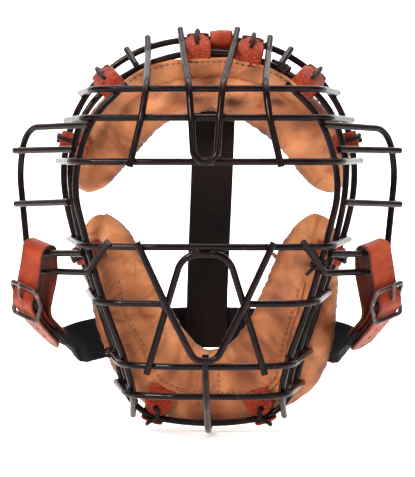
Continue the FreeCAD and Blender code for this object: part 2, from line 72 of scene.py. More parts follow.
class Shader:
    """A material being built: its nodes, joined by short calls."""

    def __init__(self, name, **values):
        self.material = bpy.data.materials.new(name)
        self.material.use_nodes = True
        self.tree = self.material.node_tree
        self.surface = self.tree.nodes["Principled BSDF"]
        self.place = self.add("ShaderNodeTexCoord").outputs["Object"]
        for socket, value in values.items():
            self.surface.inputs[socket.replace("_", " ")].default_value = value

    def add(self, kind, **settings):
        node = self.tree.nodes.new(kind)
        for key, value in settings.items():
            setattr(node, key, value)
        return node

    def link(self, out, into):
        self.tree.links.new(out, into)

    def noise(self, scale, detail=4.0, rough=0.55, distort=0.0, stretch=None):
        node = self.add("ShaderNodeTexNoise")
        node.inputs["Scale"].default_value = scale
        node.inputs["Detail"].default_value = detail
        node.inputs["Roughness"].default_value = rough
        node.inputs["Distortion"].default_value = distort
        self.link(self.mapped(stretch), node.inputs["Vector"])
        return node.outputs["Fac"]

    def cells(self, scale, feature="F1", jitter=1.0):
        node = self.add("ShaderNodeTexVoronoi", feature=feature)
        node.inputs["Scale"].default_value = scale
        node.inputs["Randomness"].default_value = jitter
        self.link(self.place, node.inputs["Vector"])
        return node.outputs["Distance"]

    def wave(self, scale, axis, distort=0.0, source=None):
        node = self.add("ShaderNodeTexWave", bands_direction=axis)
        node.inputs["Scale"].default_value = scale
        node.inputs["Distortion"].default_value = distort
        self.link(source or self.place, node.inputs["Vector"])
        return node.outputs["Fac"]

    def mapped(self, stretch):
        if stretch is None:
            return self.place
        node = self.add("ShaderNodeMapping")
        node.inputs["Scale"].default_value = stretch
        self.link(self.place, node.inputs["Vector"])
        return node.outputs["Vector"]

    def ramp(self, fac, *stops):
        node = self.add("ShaderNodeValToRGB")
        ramp = node.color_ramp
        while len(ramp.elements) < len(stops):
            ramp.elements.new(0.5)
        for element, (at, colour) in zip(ramp.elements, stops):
            element.position = at
            element.color = (*colour, 1) if isinstance(colour, tuple) else (colour, colour, colour, 1)
        self.link(fac, node.inputs["Fac"])
        return node.outputs["Color"]

    def mix(self, fac, a, b, blend="MIX"):
        node = self.add("ShaderNodeMix", data_type="RGBA", blend_type=blend)
        for socket, value in (("Factor", fac), ("A", a), ("B", b)):
            into = [s for s in node.inputs if s.name == socket and s.type in ("RGBA", "VALUE")]
            into = into[0] if socket == "Factor" else [s for s in into if s.type == "RGBA"][0]
            if isinstance(value, tuple):
                into.default_value = (*value, 1)
            elif isinstance(value, float):
                into.default_value = value
            else:
                self.link(value, into)
        return [s for s in node.outputs if s.type == "RGBA"][0]

    def attribute(self, name):
        return self.add("ShaderNodeAttribute", attribute_name=name).outputs["Fac"]

    def bump(self, *layers):
        """Layers of (height, strength, distance in metres), the largest first."""
        last = None
        for height, strength, distance in layers:
            node = self.add("ShaderNodeBump")
            node.inputs["Strength"].default_value = strength
            node.inputs["Distance"].default_value = distance
            self.link(height, node.inputs["Height"])
            if last:
                self.link(last, node.inputs["Normal"])
            last = node.outputs["Normal"]
        self.link(last, self.surface.inputs["Normal"])

    def colour(self, out):
        self.link(out, self.surface.inputs["Base Color"])

    def rough(self, fac, low, high):
        node = self.add("ShaderNodeMapRange")
        node.inputs["To Min"].default_value = low
        node.inputs["To Max"].default_value = high
        self.link(fac, node.inputs["Value"])
        self.link(node.outputs["Result"], self.surface.inputs["Roughness"])


def wire_enamel():
    """Old baked enamel over steel: nearly black maroon, pooled and chipped to brown."""
    m = Shader("wire_enamel", Coat_Weight=0.08, Coat_Roughness=0.08, Specular_IOR_Level=0.10)
    pool = m.noise(55, 3)
    chips = m.noise(210, 6, 0.7)
    base = m.ramp(
        pool, (0.32, (0.0025, 0.0010, 0.0013)), (0.58, (0.008, 0.0022, 0.0028)), (0.78, (0.024, 0.007, 0.006))
    )
    marked = m.ramp(chips, (0.64, 0.0), (0.70, 1.0))
    m.colour(m.mix(marked, base, (0.050, 0.018, 0.011)))
    m.rough(m.noise(130, 3), 0.18, 0.40)
    m.bump((pool, 0.25, 0.0012), (chips, 0.12, 0.0004))
    return m.material


def tan_leather():
    """Soft pad leather: tan, with blotchy sweat stains, and darker where a per-point attribute paints soil and
    shade: painted shade in its creases and folds and towards its edges where it curves away, and soft dark
    spots, part soil and part painted shade.
    """
    m = Shader("pad_tan_leather", Specular_IOR_Level=0.22, Sheen_Weight=0.04, Sheen_Roughness=0.5)
    broad = m.noise(17, 5, 0.6, 0.6)
    blotch = m.noise(38, 6, 0.65, 1.2)
    grain = m.cells(900)
    base = m.ramp(
        broad, (0.36, (0.22, 0.062, 0.021)), (0.50, (0.46, 0.162, 0.062)), (0.64, (0.67, 0.285, 0.124))
    )
    stain = m.ramp(blotch, (0.56, 0.0), (0.74, 1.0))
    stained = m.mix(stain, base, m.mix(1.0, base, (0.46, 0.27, 0.20), "MULTIPLY"))
    # soil and painted shade: a per-point attribute darkens the pad in soft spots, in its creases and folds, and
    # towards its edges where it curves away
    soiled_and_shaded = m.attribute("soil_and_shade")
    marked = m.mix(soiled_and_shaded, stained, (0.050, 0.012, 0.007))
    speck = m.ramp(m.noise(420, 5, 0.7), (0.60, 0.0), (0.72, 0.45))
    m.colour(m.mix(speck, marked, (0.13, 0.042, 0.020)))
    m.rough(m.noise(60, 4), 0.38, 0.66)
    m.bump(
        (m.noise(60, 6, 0.6, 1.6), 0.45, 0.0016), (m.noise(160, 5, 0.6, 2.5, (1, 1, 2.4)), 0.35, 0.0008),
        (grain, 0.22, 0.0003)
    )
    return m.material


def pebbled_leather():
    """Red-orange tab leather pressed with a pebble grain."""
    m = Shader("pebbled_tab_leather", Specular_IOR_Level=0.16, Coat_Weight=0.03, Coat_Roughness=0.35)
    pebble = m.cells(680, "DISTANCE_TO_EDGE", jitter=0.8)
    gap = m.ramp(pebble, (0.03, 1.0), (0.16, 0.0))
    tone = m.noise(60, 4)
    base = m.ramp(
        tone, (0.30, (0.27, 0.026, 0.010)), (0.52, (0.42, 0.050, 0.017)), (0.75, (0.54, 0.095, 0.034))
    )
    # painted shade: the gaps between the pebbles are painted darker, as shade in the hollows of the grain
    m.colour(m.mix(gap, base, m.mix(1.0, base, (0.30, 0.16, 0.16), "MULTIPLY")))
    m.rough(tone, 0.34, 0.52)
    m.bump((m.noise(90, 3), 0.3, 0.0012), (m.ramp(pebble, (0.0, 0.0), (0.30, 1.0)), 0.9, 0.0006))
    return m.material


def strap_leather():
    """Smooth harness leather, orange brown, cracked across and dark at its cut edges; its flesh face is painted
    near black as painted shade inside its loops.
    """
    m = Shader("strap_harness_leather", Specular_IOR_Level=0.14, Coat_Weight=0.03, Coat_Roughness=0.3)
    tone = m.noise(34, 5, 0.6, 0.8)
    cracks = m.noise(230, 6, 0.75, 3.5, (1, 1, 1.9))
    base = m.ramp(
        tone, (0.30, (0.15, 0.015, 0.005)), (0.50, (0.27, 0.032, 0.009)), (0.72, (0.40, 0.068, 0.019))
    )
    line = m.ramp(cracks, (0.38, 1.0), (0.45, 0.0))
    cracked = m.mix(line, base, (0.060, 0.010, 0.006))
    edge = m.attribute("edge")
    # painted shade: the flesh face is painted near black, standing for the shade inside the loops the strap
    # makes
    inside = m.attribute("flesh_and_shade")
    m.colour(m.mix(inside, m.mix(edge, cracked, (0.055, 0.013, 0.008)), (0.022, 0.008, 0.007)))
    m.rough(tone, 0.34, 0.56)
    m.bump(
        (m.noise(80, 4, 0.6, 1.0), 0.35, 0.001), (m.ramp(cracks, (0.34, 0.0), (0.46, 1.0)), 0.4, 0.0005),
        (m.cells(1400), 0.15, 0.0002)
    )
    return m.material


def lace_leather():
    m = Shader("lace_rawhide", Specular_IOR_Level=0.12)
    tone = m.noise(240, 5, 0.7)
    stops = (0.35, (0.006, 0.003, 0.003)), (0.60, (0.022, 0.008, 0.007)), (0.80, (0.055, 0.022, 0.016))
    m.colour(m.ramp(tone, *stops))
    m.rough(tone, 0.42, 0.7)
    m.bump((tone, 0.7, 0.0006), (m.wave(150, "DIAGONAL", 3.0), 0.4, 0.0004))
    return m.material


def elastic(name, deep, lit):
    """Ribbed elastic webbing. Its across and along places ride on the mesh, so the ribs follow every bend."""
    m = Shader(name, Specular_IOR_Level=0.12, Sheen_Weight=0.03, Sheen_Roughness=0.4)
    combine = m.add("ShaderNodeCombineXYZ")
    m.link(m.attribute("across"), combine.inputs["X"])
    m.link(m.attribute("along"), combine.inputs["Y"])
    ribs = m.wave(260, "X", 0.0, combine.outputs["Vector"])
    picks = m.wave(330, "Y", 0.4, combine.outputs["Vector"])
    fade = m.noise(26, 4)
    cloth = m.ramp(fade, (0.3, deep), (0.75, lit))
    shade = m.mix(
        1.0, m.ramp(ribs, (0.0, 0.45), (0.6, 1.0)), m.ramp(picks, (0.0, 0.7), (0.7, 1.0)), "MULTIPLY"
    )
    m.colour(m.mix(1.0, cloth, shade, "MULTIPLY"))
    m.rough(fade, 0.62, 0.85)
    m.bump((ribs, 0.8, 0.0006), (picks, 0.5, 0.0003), (m.noise(700, 3), 0.3, 0.0003))
    return m.material


def buckle_steel():
    """Dark japanned steel, rubbed bright in patches."""
    m = Shader("buckle_japanned_steel", Coat_Weight=0.3, Coat_Roughness=0.2)
    rub = m.noise(150, 5, 0.7, 0.8)
    bare = m.ramp(rub, (0.56, 0.0), (0.66, 1.0))
    m.colour(m.mix(bare, (0.030, 0.010, 0.009), (0.30, 0.20, 0.17)))
    m.link(bare, m.surface.inputs["Metallic"])
    m.rough(m.noise(300, 4), 0.2, 0.45)
    m.bump((m.noise(260, 5), 0.4, 0.0004))
    return m.material


def thread():
    m = Shader("waxed_thread", Specular_IOR_Level=0.3)
    m.colour(m.ramp(m.noise(500, 3), (0.35, (0.06, 0.024, 0.014)), (0.7, (0.20, 0.09, 0.05))))
    m.rough(m.noise(300, 2), 0.5, 0.7)
    m.bump((m.wave(900, "DIAGONAL", 1.0), 0.5, 0.0002))
    return m.material


ENAMEL = wire_enamel()
TAN = tan_leather()
PEBBLED = pebbled_leather()
STRAP = strap_leather()
LACE = lace_leather()
NAVY = elastic("elastic_navy_web", (0.002, 0.002, 0.005), (0.009, 0.009, 0.020))
BROWN = elastic("elastic_brown_web", (0.003, 0.002, 0.002), (0.020, 0.010, 0.008))
STEEL = buckle_steel()
THREAD = thread()


# ---------------------------------------------------------------- mesh helpers


def add_object(name, data):
    obj = bpy.data.objects.new(name, data)
    bpy.context.collection.objects.link(obj)
    return obj


def shade_smooth(mesh):
    for polygon in mesh.polygons:
        polygon.use_smooth = True


def make_object(name, verts, faces, material):
    mesh = bpy.data.meshes.new(name)
    mesh.from_pydata([tuple(v) for v in verts], [], faces)
    mesh.validate()
    shade_smooth(mesh)
    mesh.materials.append(material)
    return add_object(name, mesh)


def mesh_from(bm, name):
    mesh = bpy.data.meshes.new(name)
    bm.to_mesh(mesh)
    bm.free()
    return mesh


def turn_faces_out(obj):
    bm = bmesh.new()
    bm.from_mesh(obj.data)
    bmesh.ops.recalc_face_normals(bm, faces=bm.faces)
    bm.to_mesh(obj.data)
    bm.free()


def ring_faces(rings, around, base=0):
    """The quads between rings of points, each with the same number of points around."""
    faces = []
    for i in range(rings - 1):
        for k in range(around):
            a, b = base + i * around + k, base + i * around + (k + 1) % around
            faces.append((a, b, b + around, a + around))
    return faces


def set_values(obj, name, values):
    layer = obj.data.attributes.new(name, "FLOAT", "POINT")
    layer.data.foreach_set("value", values)


def get_values(obj, name):
    values = [0.0] * len(obj.data.vertices)
    obj.data.attributes[name].data.foreach_get("value", values)
    return values


def parts_ride(body, slot_name, *objects):
    for obj in objects:
        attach(obj, body)


def apply_modifiers(obj):
    bpy.context.view_layer.update()
    shown = obj.evaluated_get(bpy.context.evaluated_depsgraph_get())
    mesh = bpy.data.meshes.new_from_object(shown)
    obj.modifiers.clear()
    obj.data = mesh


def subdivide(obj, levels):
    finer = obj.modifiers.new("finer", "SUBSURF")
    finer.levels = finer.render_levels = levels
    apply_modifiers(obj)


ARC_STEPS = 8


def bent_path(points, bends, step):
    """Straight runs joined by tangent arcs, as evenly spaced points."""
    pts = [Vector(p) for p in points]
    line = [pts[0]]
    for i in range(1, len(pts) - 1):
        into = (pts[i] - pts[i - 1]).normalized()
        out = (pts[i + 1] - pts[i]).normalized()
        turn = into.angle(out)
        if turn < 1e-3:
            continue
        run = min((pts[i] - pts[i - 1]).length, (pts[i + 1] - pts[i]).length)
        radius = min(bends[i], 0.5 * run / math.tan(turn / 2))
        reach = radius * math.tan(turn / 2)
        start = pts[i] - into * reach
        centre = pts[i] + (out - into).normalized() * (radius / math.cos(turn / 2))
        axis = into.cross(out).normalized()
        arm = start - centre
        for k in range(ARC_STEPS + 1):
            turned = arm.copy()
            turned.rotate(Quaternion(axis, turn * k / ARC_STEPS))
            line.append(centre + turned)
    line.append(pts[-1])
    return even(line, step)


def distances(line):
    """How far along a line each of its points is."""
    lengths = [0.0]
    for a, b in zip(line, line[1:]):
        lengths.append(lengths[-1] + (b - a).length)
    return lengths


def even(line, step):
    """The same line with points a step apart."""
    lengths = distances(line)
    count = max(2, int(lengths[-1] / step))
    result, j = [], 0
    for i in range(count + 1):
        want = lengths[-1] * i / count
        while j < len(lengths) - 2 and lengths[j + 1] < want:
            j += 1
        span = lengths[j + 1] - lengths[j]
        share = (want - lengths[j]) / span if span > 1e-12 else 0
        result.append(line[j].lerp(line[j + 1], share))
    return result


def tangents(line):
    last = len(line) - 1
    return [(line[min(i + 1, last)] - line[max(i - 1, 0)]).normalized() for i in range(last + 1)]


def smooth_between(p0, p1, p2, p3, t):
    """A point of the smooth curve from p1 to p2, where p0 and p3 are the points before and after them."""
    slope, bend, twist = p2 - p0, 2 * p0 - 5 * p1 + 4 * p2 - p3, 3 * p1 - p0 - 3 * p2 + p3
    return 0.5 * ((2 * p1) + slope * t + bend * t * t + twist * t ** 3)


def leather_strip(
    name, line, acrosses, width_at, thickness, material, crown=0.0, rumple=0.0, wide=14, seed=0.0, facing=1
):
    """A strap with rounded edges. width_at gives its width along it.

    Its face swells by crown and rumples a little. wide is its number of quads across.
    """
    ways = tangents(line)
    rings, edge, flesh_and_shade, across_at, along_at = [], [], [], [], []
    travelled = 0.0
    half_t = thickness / 2
    places = [-1 + 2 * k / wide for k in range(wide + 1)]
    profile = [(u, 1) for u in places] + [(u, -1) for u in reversed(places)]
    for i, point in enumerate(line):
        across = acrosses[i].normalized()
        normal = ways[i].cross(across).normalized()
        across = normal.cross(ways[i]).normalized()
        if i:
            travelled += (line[i] - line[i - 1]).length
        width = width_at(i / (len(line) - 1), travelled)
        ring = []
        for u, face in profile:
            fall = 1 - max(0.0, (abs(u) - 0.9) / 0.1) ** 2 * 0.62
            swell = crown * (1 - u * u)
            ripple = rumple * noise.noise(vec(u * width * 120 + seed, travelled * 95, seed)) if rumple else 0
            offset = face * half_t * fall + swell + ripple
            ring.append(point + across * (u * width / 2) + normal * offset)
            edge.append(max(0.0, (abs(u) - 0.86) / 0.14))
            flesh_and_shade.append(1.0 if face * facing < 0 else 0.0)
            across_at.append(u * width / 2)
            along_at.append(travelled)
        rings.append(ring)
    size = len(profile)
    verts = [p for ring in rings for p in ring]
    faces = []
    for i in range(len(rings) - 1):
        for k in range(size):
            a, b = i * size + k, i * size + (k + 1) % size
            faces.append((a, a + size, b + size, b))
    for start, flip in ((0, False), ((len(rings) - 1) * size, True)):
        for k in range(wide):
            quad = (start + k, start + k + 1, start + size - 2 - k, start + size - 1 - k)
            faces.append(quad[::-1] if flip else quad)
    obj = make_object(name, verts, faces, material)
    for mark, values in (("edge", edge), ("flesh_and_shade", flesh_and_shade), ("across", across_at), ("along", along_at)):
        set_values(obj, mark, values)
    turn_faces_out(obj)
    return obj


def punch(obj, holes, radius, depth):
    """Round holes through a piece, each given by its centre and direction."""
    bm = bmesh.new()
    for centre, way in holes:
        turn = Vector(way).to_track_quat("Z", "Y").to_matrix().to_4x4()
        turn.translation = centre
        bmesh.ops.create_cone(
            bm, segments=20, radius1=radius, radius2=radius, depth=depth, cap_ends=True, matrix=turn
        )
    mesh = mesh_from(bm, "punch")
    tool = add_object("punch", mesh)
    cut = obj.modifiers.new("punch", "BOOLEAN")
    cut.object = tool
    cut.operation = "DIFFERENCE"
    cut.solver = "EXACT"
    apply_modifiers(obj)
    bpy.data.objects.remove(tool)
    bpy.data.meshes.remove(mesh)


def stitches(name, places, length, radius):
    """A row of thread stitches: (place, direction, outward) each, as small rounded bars sunk at both ends."""
    verts, faces = [], []
    around, steps = 6, 6
    sunk = 0.25
    for place, way, out in places:
        way, out = Vector(way).normalized(), Vector(out).normalized()
        side = way.cross(out).normalized()
        base = len(verts)
        for i in range(steps + 1):
            t = -1 + 2 * i / steps
            r = radius * math.sqrt(max(0.05, 1 - t ** 4))
            rise = radius * 0.9 * (1 - t * t) - radius * sunk
            middle = Vector(place) + way * (t * length / 2) + out * rise
            for k in range(around):
                a = 2 * math.pi * k / around
                verts.append(middle + side * (r * math.cos(a)) + out * (r * math.sin(a)))
        faces += ring_faces(steps + 1, around, base)
        faces.append(tuple(base + k for k in reversed(range(around))))
        faces.append(tuple(base + steps * around + k for k in range(around)))
    return make_object(name, verts, faces, THREAD)


def tube(name, points, radius, material, knobs):
    """A lace or cord: a smooth round line through its points, uneven by a share of its radius."""
    curve = bpy.data.curves.new(name, "CURVE")
    curve.dimensions = "3D"
    curve.bevel_depth = radius
    curve.bevel_resolution = 4
    curve.use_fill_caps = True
    spline = curve.splines.new("BEZIER")
    spline.bezier_points.add(len(points) - 1)
    for k, (bezier, point) in enumerate(zip(spline.bezier_points, points)):
        bezier.co = point
        bezier.handle_left_type = bezier.handle_right_type = "AUTO"
        bezier.radius = 1 + knobs * math.sin(k * 2.1)
    curve.materials.append(material)
    obj = add_object(name, curve)
    mesh = bpy.data.meshes.new_from_object(obj.evaluated_get(bpy.context.evaluated_depsgraph_get()))
    bpy.data.objects.remove(obj)
    shade_smooth(mesh)
    return add_object(name, mesh)


# ---------------------------------------------------------------- steel: the CAD wires keep their shape

WIRES = [
    "rim_wire", "inner_rim_wire", "right_side_wire", "left_side_wire", "brow_bar_top", "brow_bar_low",
    "eye_bar_top", "eye_bar_low", "mouth_bar", "chin_bar", "right_cheek_bar", "left_cheek_bar",
    "right_crown_bar", "left_crown_bar", "brow_loop_bar", "nose_arch_bar", "mouth_vee_bar", "chin_post",
    "crown_ties", "right_ear_guard_loop", "left_ear_guard_loop", "right_ear_guard_bars",
    "left_ear_guard_bars",
]
BUCKLE_PARTS = ["right_buckle_frame", "left_buckle_frame", "right_buckle_tongue", "left_buckle_tongue"]


def repaint(names, material):
    for name in names:
        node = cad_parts[name]
        for part_slot in node.material_slots:
            part_slot.link = "OBJECT"
            part_slot.material = material
        if not node.material_slots:
            node.data.materials.append(material)


repaint(WIRES, ENAMEL)
repaint(BUCKLE_PARTS, STEEL)


def cuts(first, second):
    """Where the edges of one triangle pass through another."""
    for a, b in zip(first, first[1:] + first[:1]):
        hit = geometry.intersect_ray_tri(*second, b - a, a, True)
        if hit is not None and (hit - a).length <= (b - a).length and (b - a).dot(hit - a) >= 0:
            yield hit


PATCH_REACH = 0.007
BEAD_RADIUS = 0.0027


def crossings():
    """Where two of the cage's wires meet: the middle of each patch of faces that cut each other."""
    trees, sides = {}, {}
    for name in WIRES:
        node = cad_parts[name]
        node.data.calc_loop_triangles()
        corners = [node.matrix_world @ v.co for v in node.data.vertices]
        triangles = [tuple(t.vertices) for t in node.data.loop_triangles]
        trees[name] = BVHTree.FromPolygons(corners, triangles)
        sides[name] = [[corners[k] for k in t] for t in triangles]
    found = []
    for i, first in enumerate(WIRES):
        for second in WIRES[i + 1:]:
            patches = []
            for a, b in trees[first].overlap(trees[second]):
                one, two = sides[first][a], sides[second][b]
                for spot in [*cuts(one, two), *cuts(two, one)]:
                    near = next((p for p in patches if (p[0] - spot).length < PATCH_REACH), None)
                    if near:
                        near[1] += 1
                        near[0] += (spot - near[0]) / near[1]
                    else:
                        patches.append([spot.copy(), 1])
            found += [spot for spot, count in patches]
    return found


def weld_beads():
    """Small uneven beads of weld metal, under the enamel, where the wires meet."""
    bm = bmesh.new()
    for spot in crossings():
        made = bmesh.ops.create_icosphere(bm, subdivisions=3, radius=1.0)
        size = BEAD_RADIUS * (1 + 0.16 * noise.noise(spot * 400))
        for v in made["verts"]:
            lump = 1 + 0.16 * noise.noise(v.co * 1.7 + spot * 900)
            v.co = spot + v.co * size * lump
    mesh = mesh_from(bm, "cage_weld_beads")
    shade_smooth(mesh)
    mesh.materials.append(ENAMEL)
    obj = add_object("cage_weld_beads", mesh)
    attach(obj, "mask")


weld_beads()


# ---------------------------------------------------------------- the pads

# along one half of each pad's middle line: x, z, half width, share of the full thickness
FOREHEAD_PAD = [
    (0, 85, 20.5, 1), (30, 80, 21, 1), (55, 66, 23.5, 1), (74, 47, 23.5, 1), (85, 29.5, 21.5, 0.96),
    (89, 17, 17, 0.8), (90.5, 10, 12, 0.55), (91, 5.5, 6, 0.3),
]
CHIN_PAD = [
    (0, -143, 29, 1), (22, -138.5, 31, 1), (44, -120.5, 33, 1), (57, -94, 29, 1), (65, -70, 26, 1),
    (75, -45, 24, 1), (79.5, -29, 20, 0.9), (81.5, -19, 14, 0.6), (82, -13.5, 6.5, 0.3),
]
# the sewn chin pad has slumped a little to one side: what each station gains there
CHIN_SLUMP = {0: (0, -1.0, 1), 22: (1, -1, 0), 44: (7, -4.5, 3.5), 57: (6.5, -2, 4), 65: (4.5, 0, 3)}
PAD_DEPTH = 15.0
PAD_HALF_THICKNESS = 16.0
PAD_AROUND = 40
PAD_BEFORE_FILLING = 0.955
PAD_FILL_LIMIT = 0.0035
PAD_FILL_FRAMES = 20
PAD_CREASES = 26
PAD_TIP = 0.0018
REARWARD = vec(0, 1, 0)


def other_half(half):
    """The stations of the pad's far side, its end first."""
    return [(-x, z, w, s) for x, z, w, s in reversed(half[1:])]


def pad_mesh(name, half, slump):
    """The pad before it is filled: rings round its middle line.

    Each point keeps its place along the pad and its angle round it.
    """
    stations = other_half(half)
    for x, z, w, s in half:
        dx, dz, dw = slump.get(x, (0, 0, 0))
        stations.append((x + dx, z + dz, w + dw, s))
    corners = [vec(x * MM, PAD_DEPTH * MM, z * MM) for x, z, w, s in stations]
    line = bent_path(corners, [0.06] * len(stations), 0.0034)
    lengths = distances(line)
    marks = []
    for here, (x, z, w, s) in zip(corners, stations):
        nearest = min(range(len(line)), key=lambda i: (line[i] - here).length)
        marks.append((lengths[nearest], w, s))
    ways = tangents(line)
    verts, faces, along, around = [], [], [], []
    total = lengths[-1]
    for i, point in enumerate(line):
        j = next((k for k in range(len(marks) - 1) if lengths[i] <= marks[k + 1][0]), len(marks) - 2)
        span = max(marks[j + 1][0] - marks[j][0], 1e-9)
        t = (lengths[i] - marks[j][0]) / span
        width = (marks[j][1] * (1 - t) + marks[j + 1][1] * t) * MM * PAD_BEFORE_FILLING
        thick = (marks[j][2] * (1 - t) + marks[j + 1][2] * t) * PAD_HALF_THICKNESS * MM * PAD_BEFORE_FILLING
        out = REARWARD.cross(ways[i]).normalized()
        for k in range(PAD_AROUND):
            a = 2 * math.pi * k / PAD_AROUND
            c, s = math.cos(a), math.sin(a)
            c = math.copysign(abs(c) ** 0.92, c)
            s = math.copysign(abs(s) ** 0.92, s)
            verts.append(point + out * (c * width) + REARWARD * (s * thick))
            along.append(lengths[i] - total / 2)
            around.append(a)
    faces += ring_faces(len(line), PAD_AROUND)
    for i, flip in ((0, True), (len(line) - 1, False)):
        tip = len(verts)
        verts.append(line[i] + ways[i] * (-PAD_TIP if flip else PAD_TIP))
        along.append(-total / 2 if flip else total / 2)
        around.append(0.0)
        for k in range(PAD_AROUND):
            a, b = i * PAD_AROUND + k, i * PAD_AROUND + (k + 1) % PAD_AROUND
            faces.append((b, a, tip) if flip else (a, b, tip))
    obj = make_object(name, verts, faces, TAN)
    turn_faces_out(obj)
    set_values(obj, "pad_along", along)
    set_values(obj, "pad_around", around)
    return obj


def fill_with_air(obj, pinned):
    """Blows the sewn shape up under pressure, so it swells between the points where it is pinned."""
    start = [v.co.copy() for v in obj.data.vertices]
    group = obj.vertex_groups.new(name="held")
    group.add(pinned, 1.0, "REPLACE")
    cloth = obj.modifiers.new("filled", "CLOTH")
    settings = cloth.settings
    settings.quality = 6
    settings.mass = 0.25
    settings.tension_stiffness = 18
    settings.compression_stiffness = 12
    settings.shear_stiffness = 6
    settings.bending_stiffness = 0.9
    settings.use_pressure = True
    settings.uniform_pressure_force = 4.0
    settings.effector_weights.gravity = 0
    settings.vertex_group_mass = "held"
    settings.pin_stiffness = 1.0
    cloth.point_cache.frame_start = 1
    cloth.point_cache.frame_end = PAD_FILL_FRAMES
    for number in range(1, PAD_FILL_FRAMES + 1):
        bpy.context.scene.frame_set(number)
    apply_modifiers(obj)
    bpy.context.scene.frame_set(1)
    for vertex, before in zip(obj.data.vertices, start):
        moved = vertex.co - before
        if moved.length > PAD_FILL_LIMIT:
            vertex.co = before + moved * (PAD_FILL_LIMIT / moved.length)


def smooth_step(t):
    t = max(0.0, min(1.0, t))
    return t * t * (3 - 2 * t)


def gauss(t):
    return math.exp(-t * t)


def spots(x, z, places):
    """How dark the leather is painted at a place, for soil and painted shade: the sum of its soft spots."""
    return min(1.0, sum(f * gauss((x - a) / u) * gauss((z - b) / v) for a, b, u, v, f in places))


def chance(seed):
    """A repeatable source of numbers from 0 to 1."""
    state = seed
    while True:
        state = (state * 1103515245 + 12345) % 2147483648
        yield state / 2147483648


def creases_for(seed, reach, count):
    """Creases that cross a pad: where along, how deep, wide and slanted, and which part they reach."""
    draw = chance(seed)
    made = []
    for k in range(count):
        at = -reach + 2 * reach * (k + 0.2 + 0.6 * next(draw)) / count
        depth, width = 0.5 + 1.1 * next(draw), 0.0018 + 0.0022 * next(draw)
        made.append((at, depth, width, -0.006 + 0.012 * next(draw), next(draw)))
    return made


def fold_depth(x, z, grooves):
    """How deep the folds are at a place, in millimetres."""
    deepest = 0.0
    for ax, az, bx, bz, depth, width in grooves:
        run = (bx - ax) ** 2 + (bz - az) ** 2
        t = max(0.0, min(1.0, ((x - ax) * (bx - ax) + (z - az) * (bz - az)) / run))
        sway = 1.4 * math.sin(5 * t + ax)
        away = math.hypot(x - ax - t * (bx - ax), z - az - t * (bz - az) + sway)
        deepest = max(
            deepest, depth * gauss(away / width) * (0.35 + 0.65 * math.sin(math.pi * min(1.0, t + 0.15)))
        )
    return deepest


def relax(mesh, crowded):
    """Evens out the surface where the rings of a pad crowd together at its inner bends."""
    bm = bmesh.new()
    bm.from_mesh(mesh)
    bm.verts.ensure_lookup_table()
    tight = {i for i, close in enumerate(crowded) if close > 0.02}
    for ring in range(3):
        tight |= {edge.other_vert(bm.verts[i]).index for i in tight for edge in bm.verts[i].link_edges}
    chosen = [bm.verts[i] for i in sorted(tight)]
    for step in range(14):
        bmesh.ops.smooth_vert(bm, verts=chosen, factor=0.5, use_axis_x=True, use_axis_y=True, use_axis_z=True)
    bm.to_mesh(mesh)
    bm.free()
    mesh.update()


def how_crowded(mesh, along):
    """How much the rings of a pad crowd together at each point, from 0 to 1."""
    crowded = [0.0] * len(along)
    for edge in mesh.edges:
        a, b = edge.vertices
        apart = abs(along[a] - along[b])
        if apart > 0.0008:
            spacing = (mesh.vertices[a].co - mesh.vertices[b].co).length / apart
            close = 1 - smooth_step((spacing - 0.2) / 0.4)
            crowded[a], crowded[b] = max(crowded[a], close), max(crowded[b], close)
    return crowded


def wrinkle(obj, creases, flap, soil_and_shade, grooves):
    """Creases, folds, puckers and the step of the sewn flap, pushed into the finished surface."""
    mesh = obj.data
    along, around = get_values(obj, "pad_along"), get_values(obj, "pad_around")
    normals = [v.normal.copy() for v in mesh.vertices]
    ends = max(along)
    crowded = how_crowded(mesh, along)
    soiled_and_shaded = []
    for i, vertex in enumerate(mesh.vertices):
        s, a = along[i], around[i]
        front = max(0.0, -math.sin(a))
        inner = max(0.0, -math.cos(a))
        outer = max(0.0, math.cos(a))
        calm = smooth_step((ends - abs(s) - 0.004) / 0.022)
        x, z = vertex.co.x * 1000, vertex.co.z * 1000
        push = 0.0
        deep = 0.0
        for at, depth, width, slant, part in creases:
            middle = at + slant * math.cos(a) + 0.002 * math.sin(3 * a + 9 * part)
            hit = gauss((s - middle) / width)
            if hit < 0.02:
                continue
            window = inner if part < 0.55 else outer * 0.8
            window = smooth_step(window * 1.5) * (0.35 + 0.65 * front)
            push -= 0.0014 * depth * hit * window
            push += 0.0004 * depth * gauss((s - middle - 2 * width) / width) * window
            deep += 0.45 * hit * window * depth
        fold = fold_depth(x, z, grooves) * smooth_step((front - 0.1) * 2)
        push -= 0.0017 * fold
        deep += 0.55 * fold
        pucker = smooth_step((inner - 0.75) * 4) + smooth_step((outer - 0.82) * 4)
        push += 0.00035 * math.sin(s * 820 + 2.5 * math.sin(s * 170)) * pucker
        push += 0.0017 * noise.noise(vertex.co * 34) + 0.0004 * noise.noise(vertex.co * 90)
        push *= calm * (1 - 0.9 * crowded[i])
        if flap:
            push += flap(x, z, vertex.co.y, normals[i])
        # the soil attribute: soft dark spots, part soil and part painted shade, strongest on the front, plus
        # painted shade in the creases and folds
        patchy = 0.55 + 0.9 * noise.noise(vertex.co * 60 + vec(3, 1, 2))
        # painted shade: a dark band near the outline, where the pad's front curves away
        edge_shade = 0.5 * gauss((front - 0.22) / 0.26) * (1 + 0.8 * noise.noise(vertex.co * 45))
        shown = 0.25 + 0.75 * smooth_step(front * 4)
        soiled_and_shaded.append(min(1.0, spots(x, z, soil_and_shade) * patchy * shown + 0.4 * deep * calm + edge_shade))
        vertex.co += normals[i] * push
    set_values(obj, "soil_and_shade", [max(0.0, v) for v in soiled_and_shaded])
    mesh.update()
    relax(mesh, crowded)


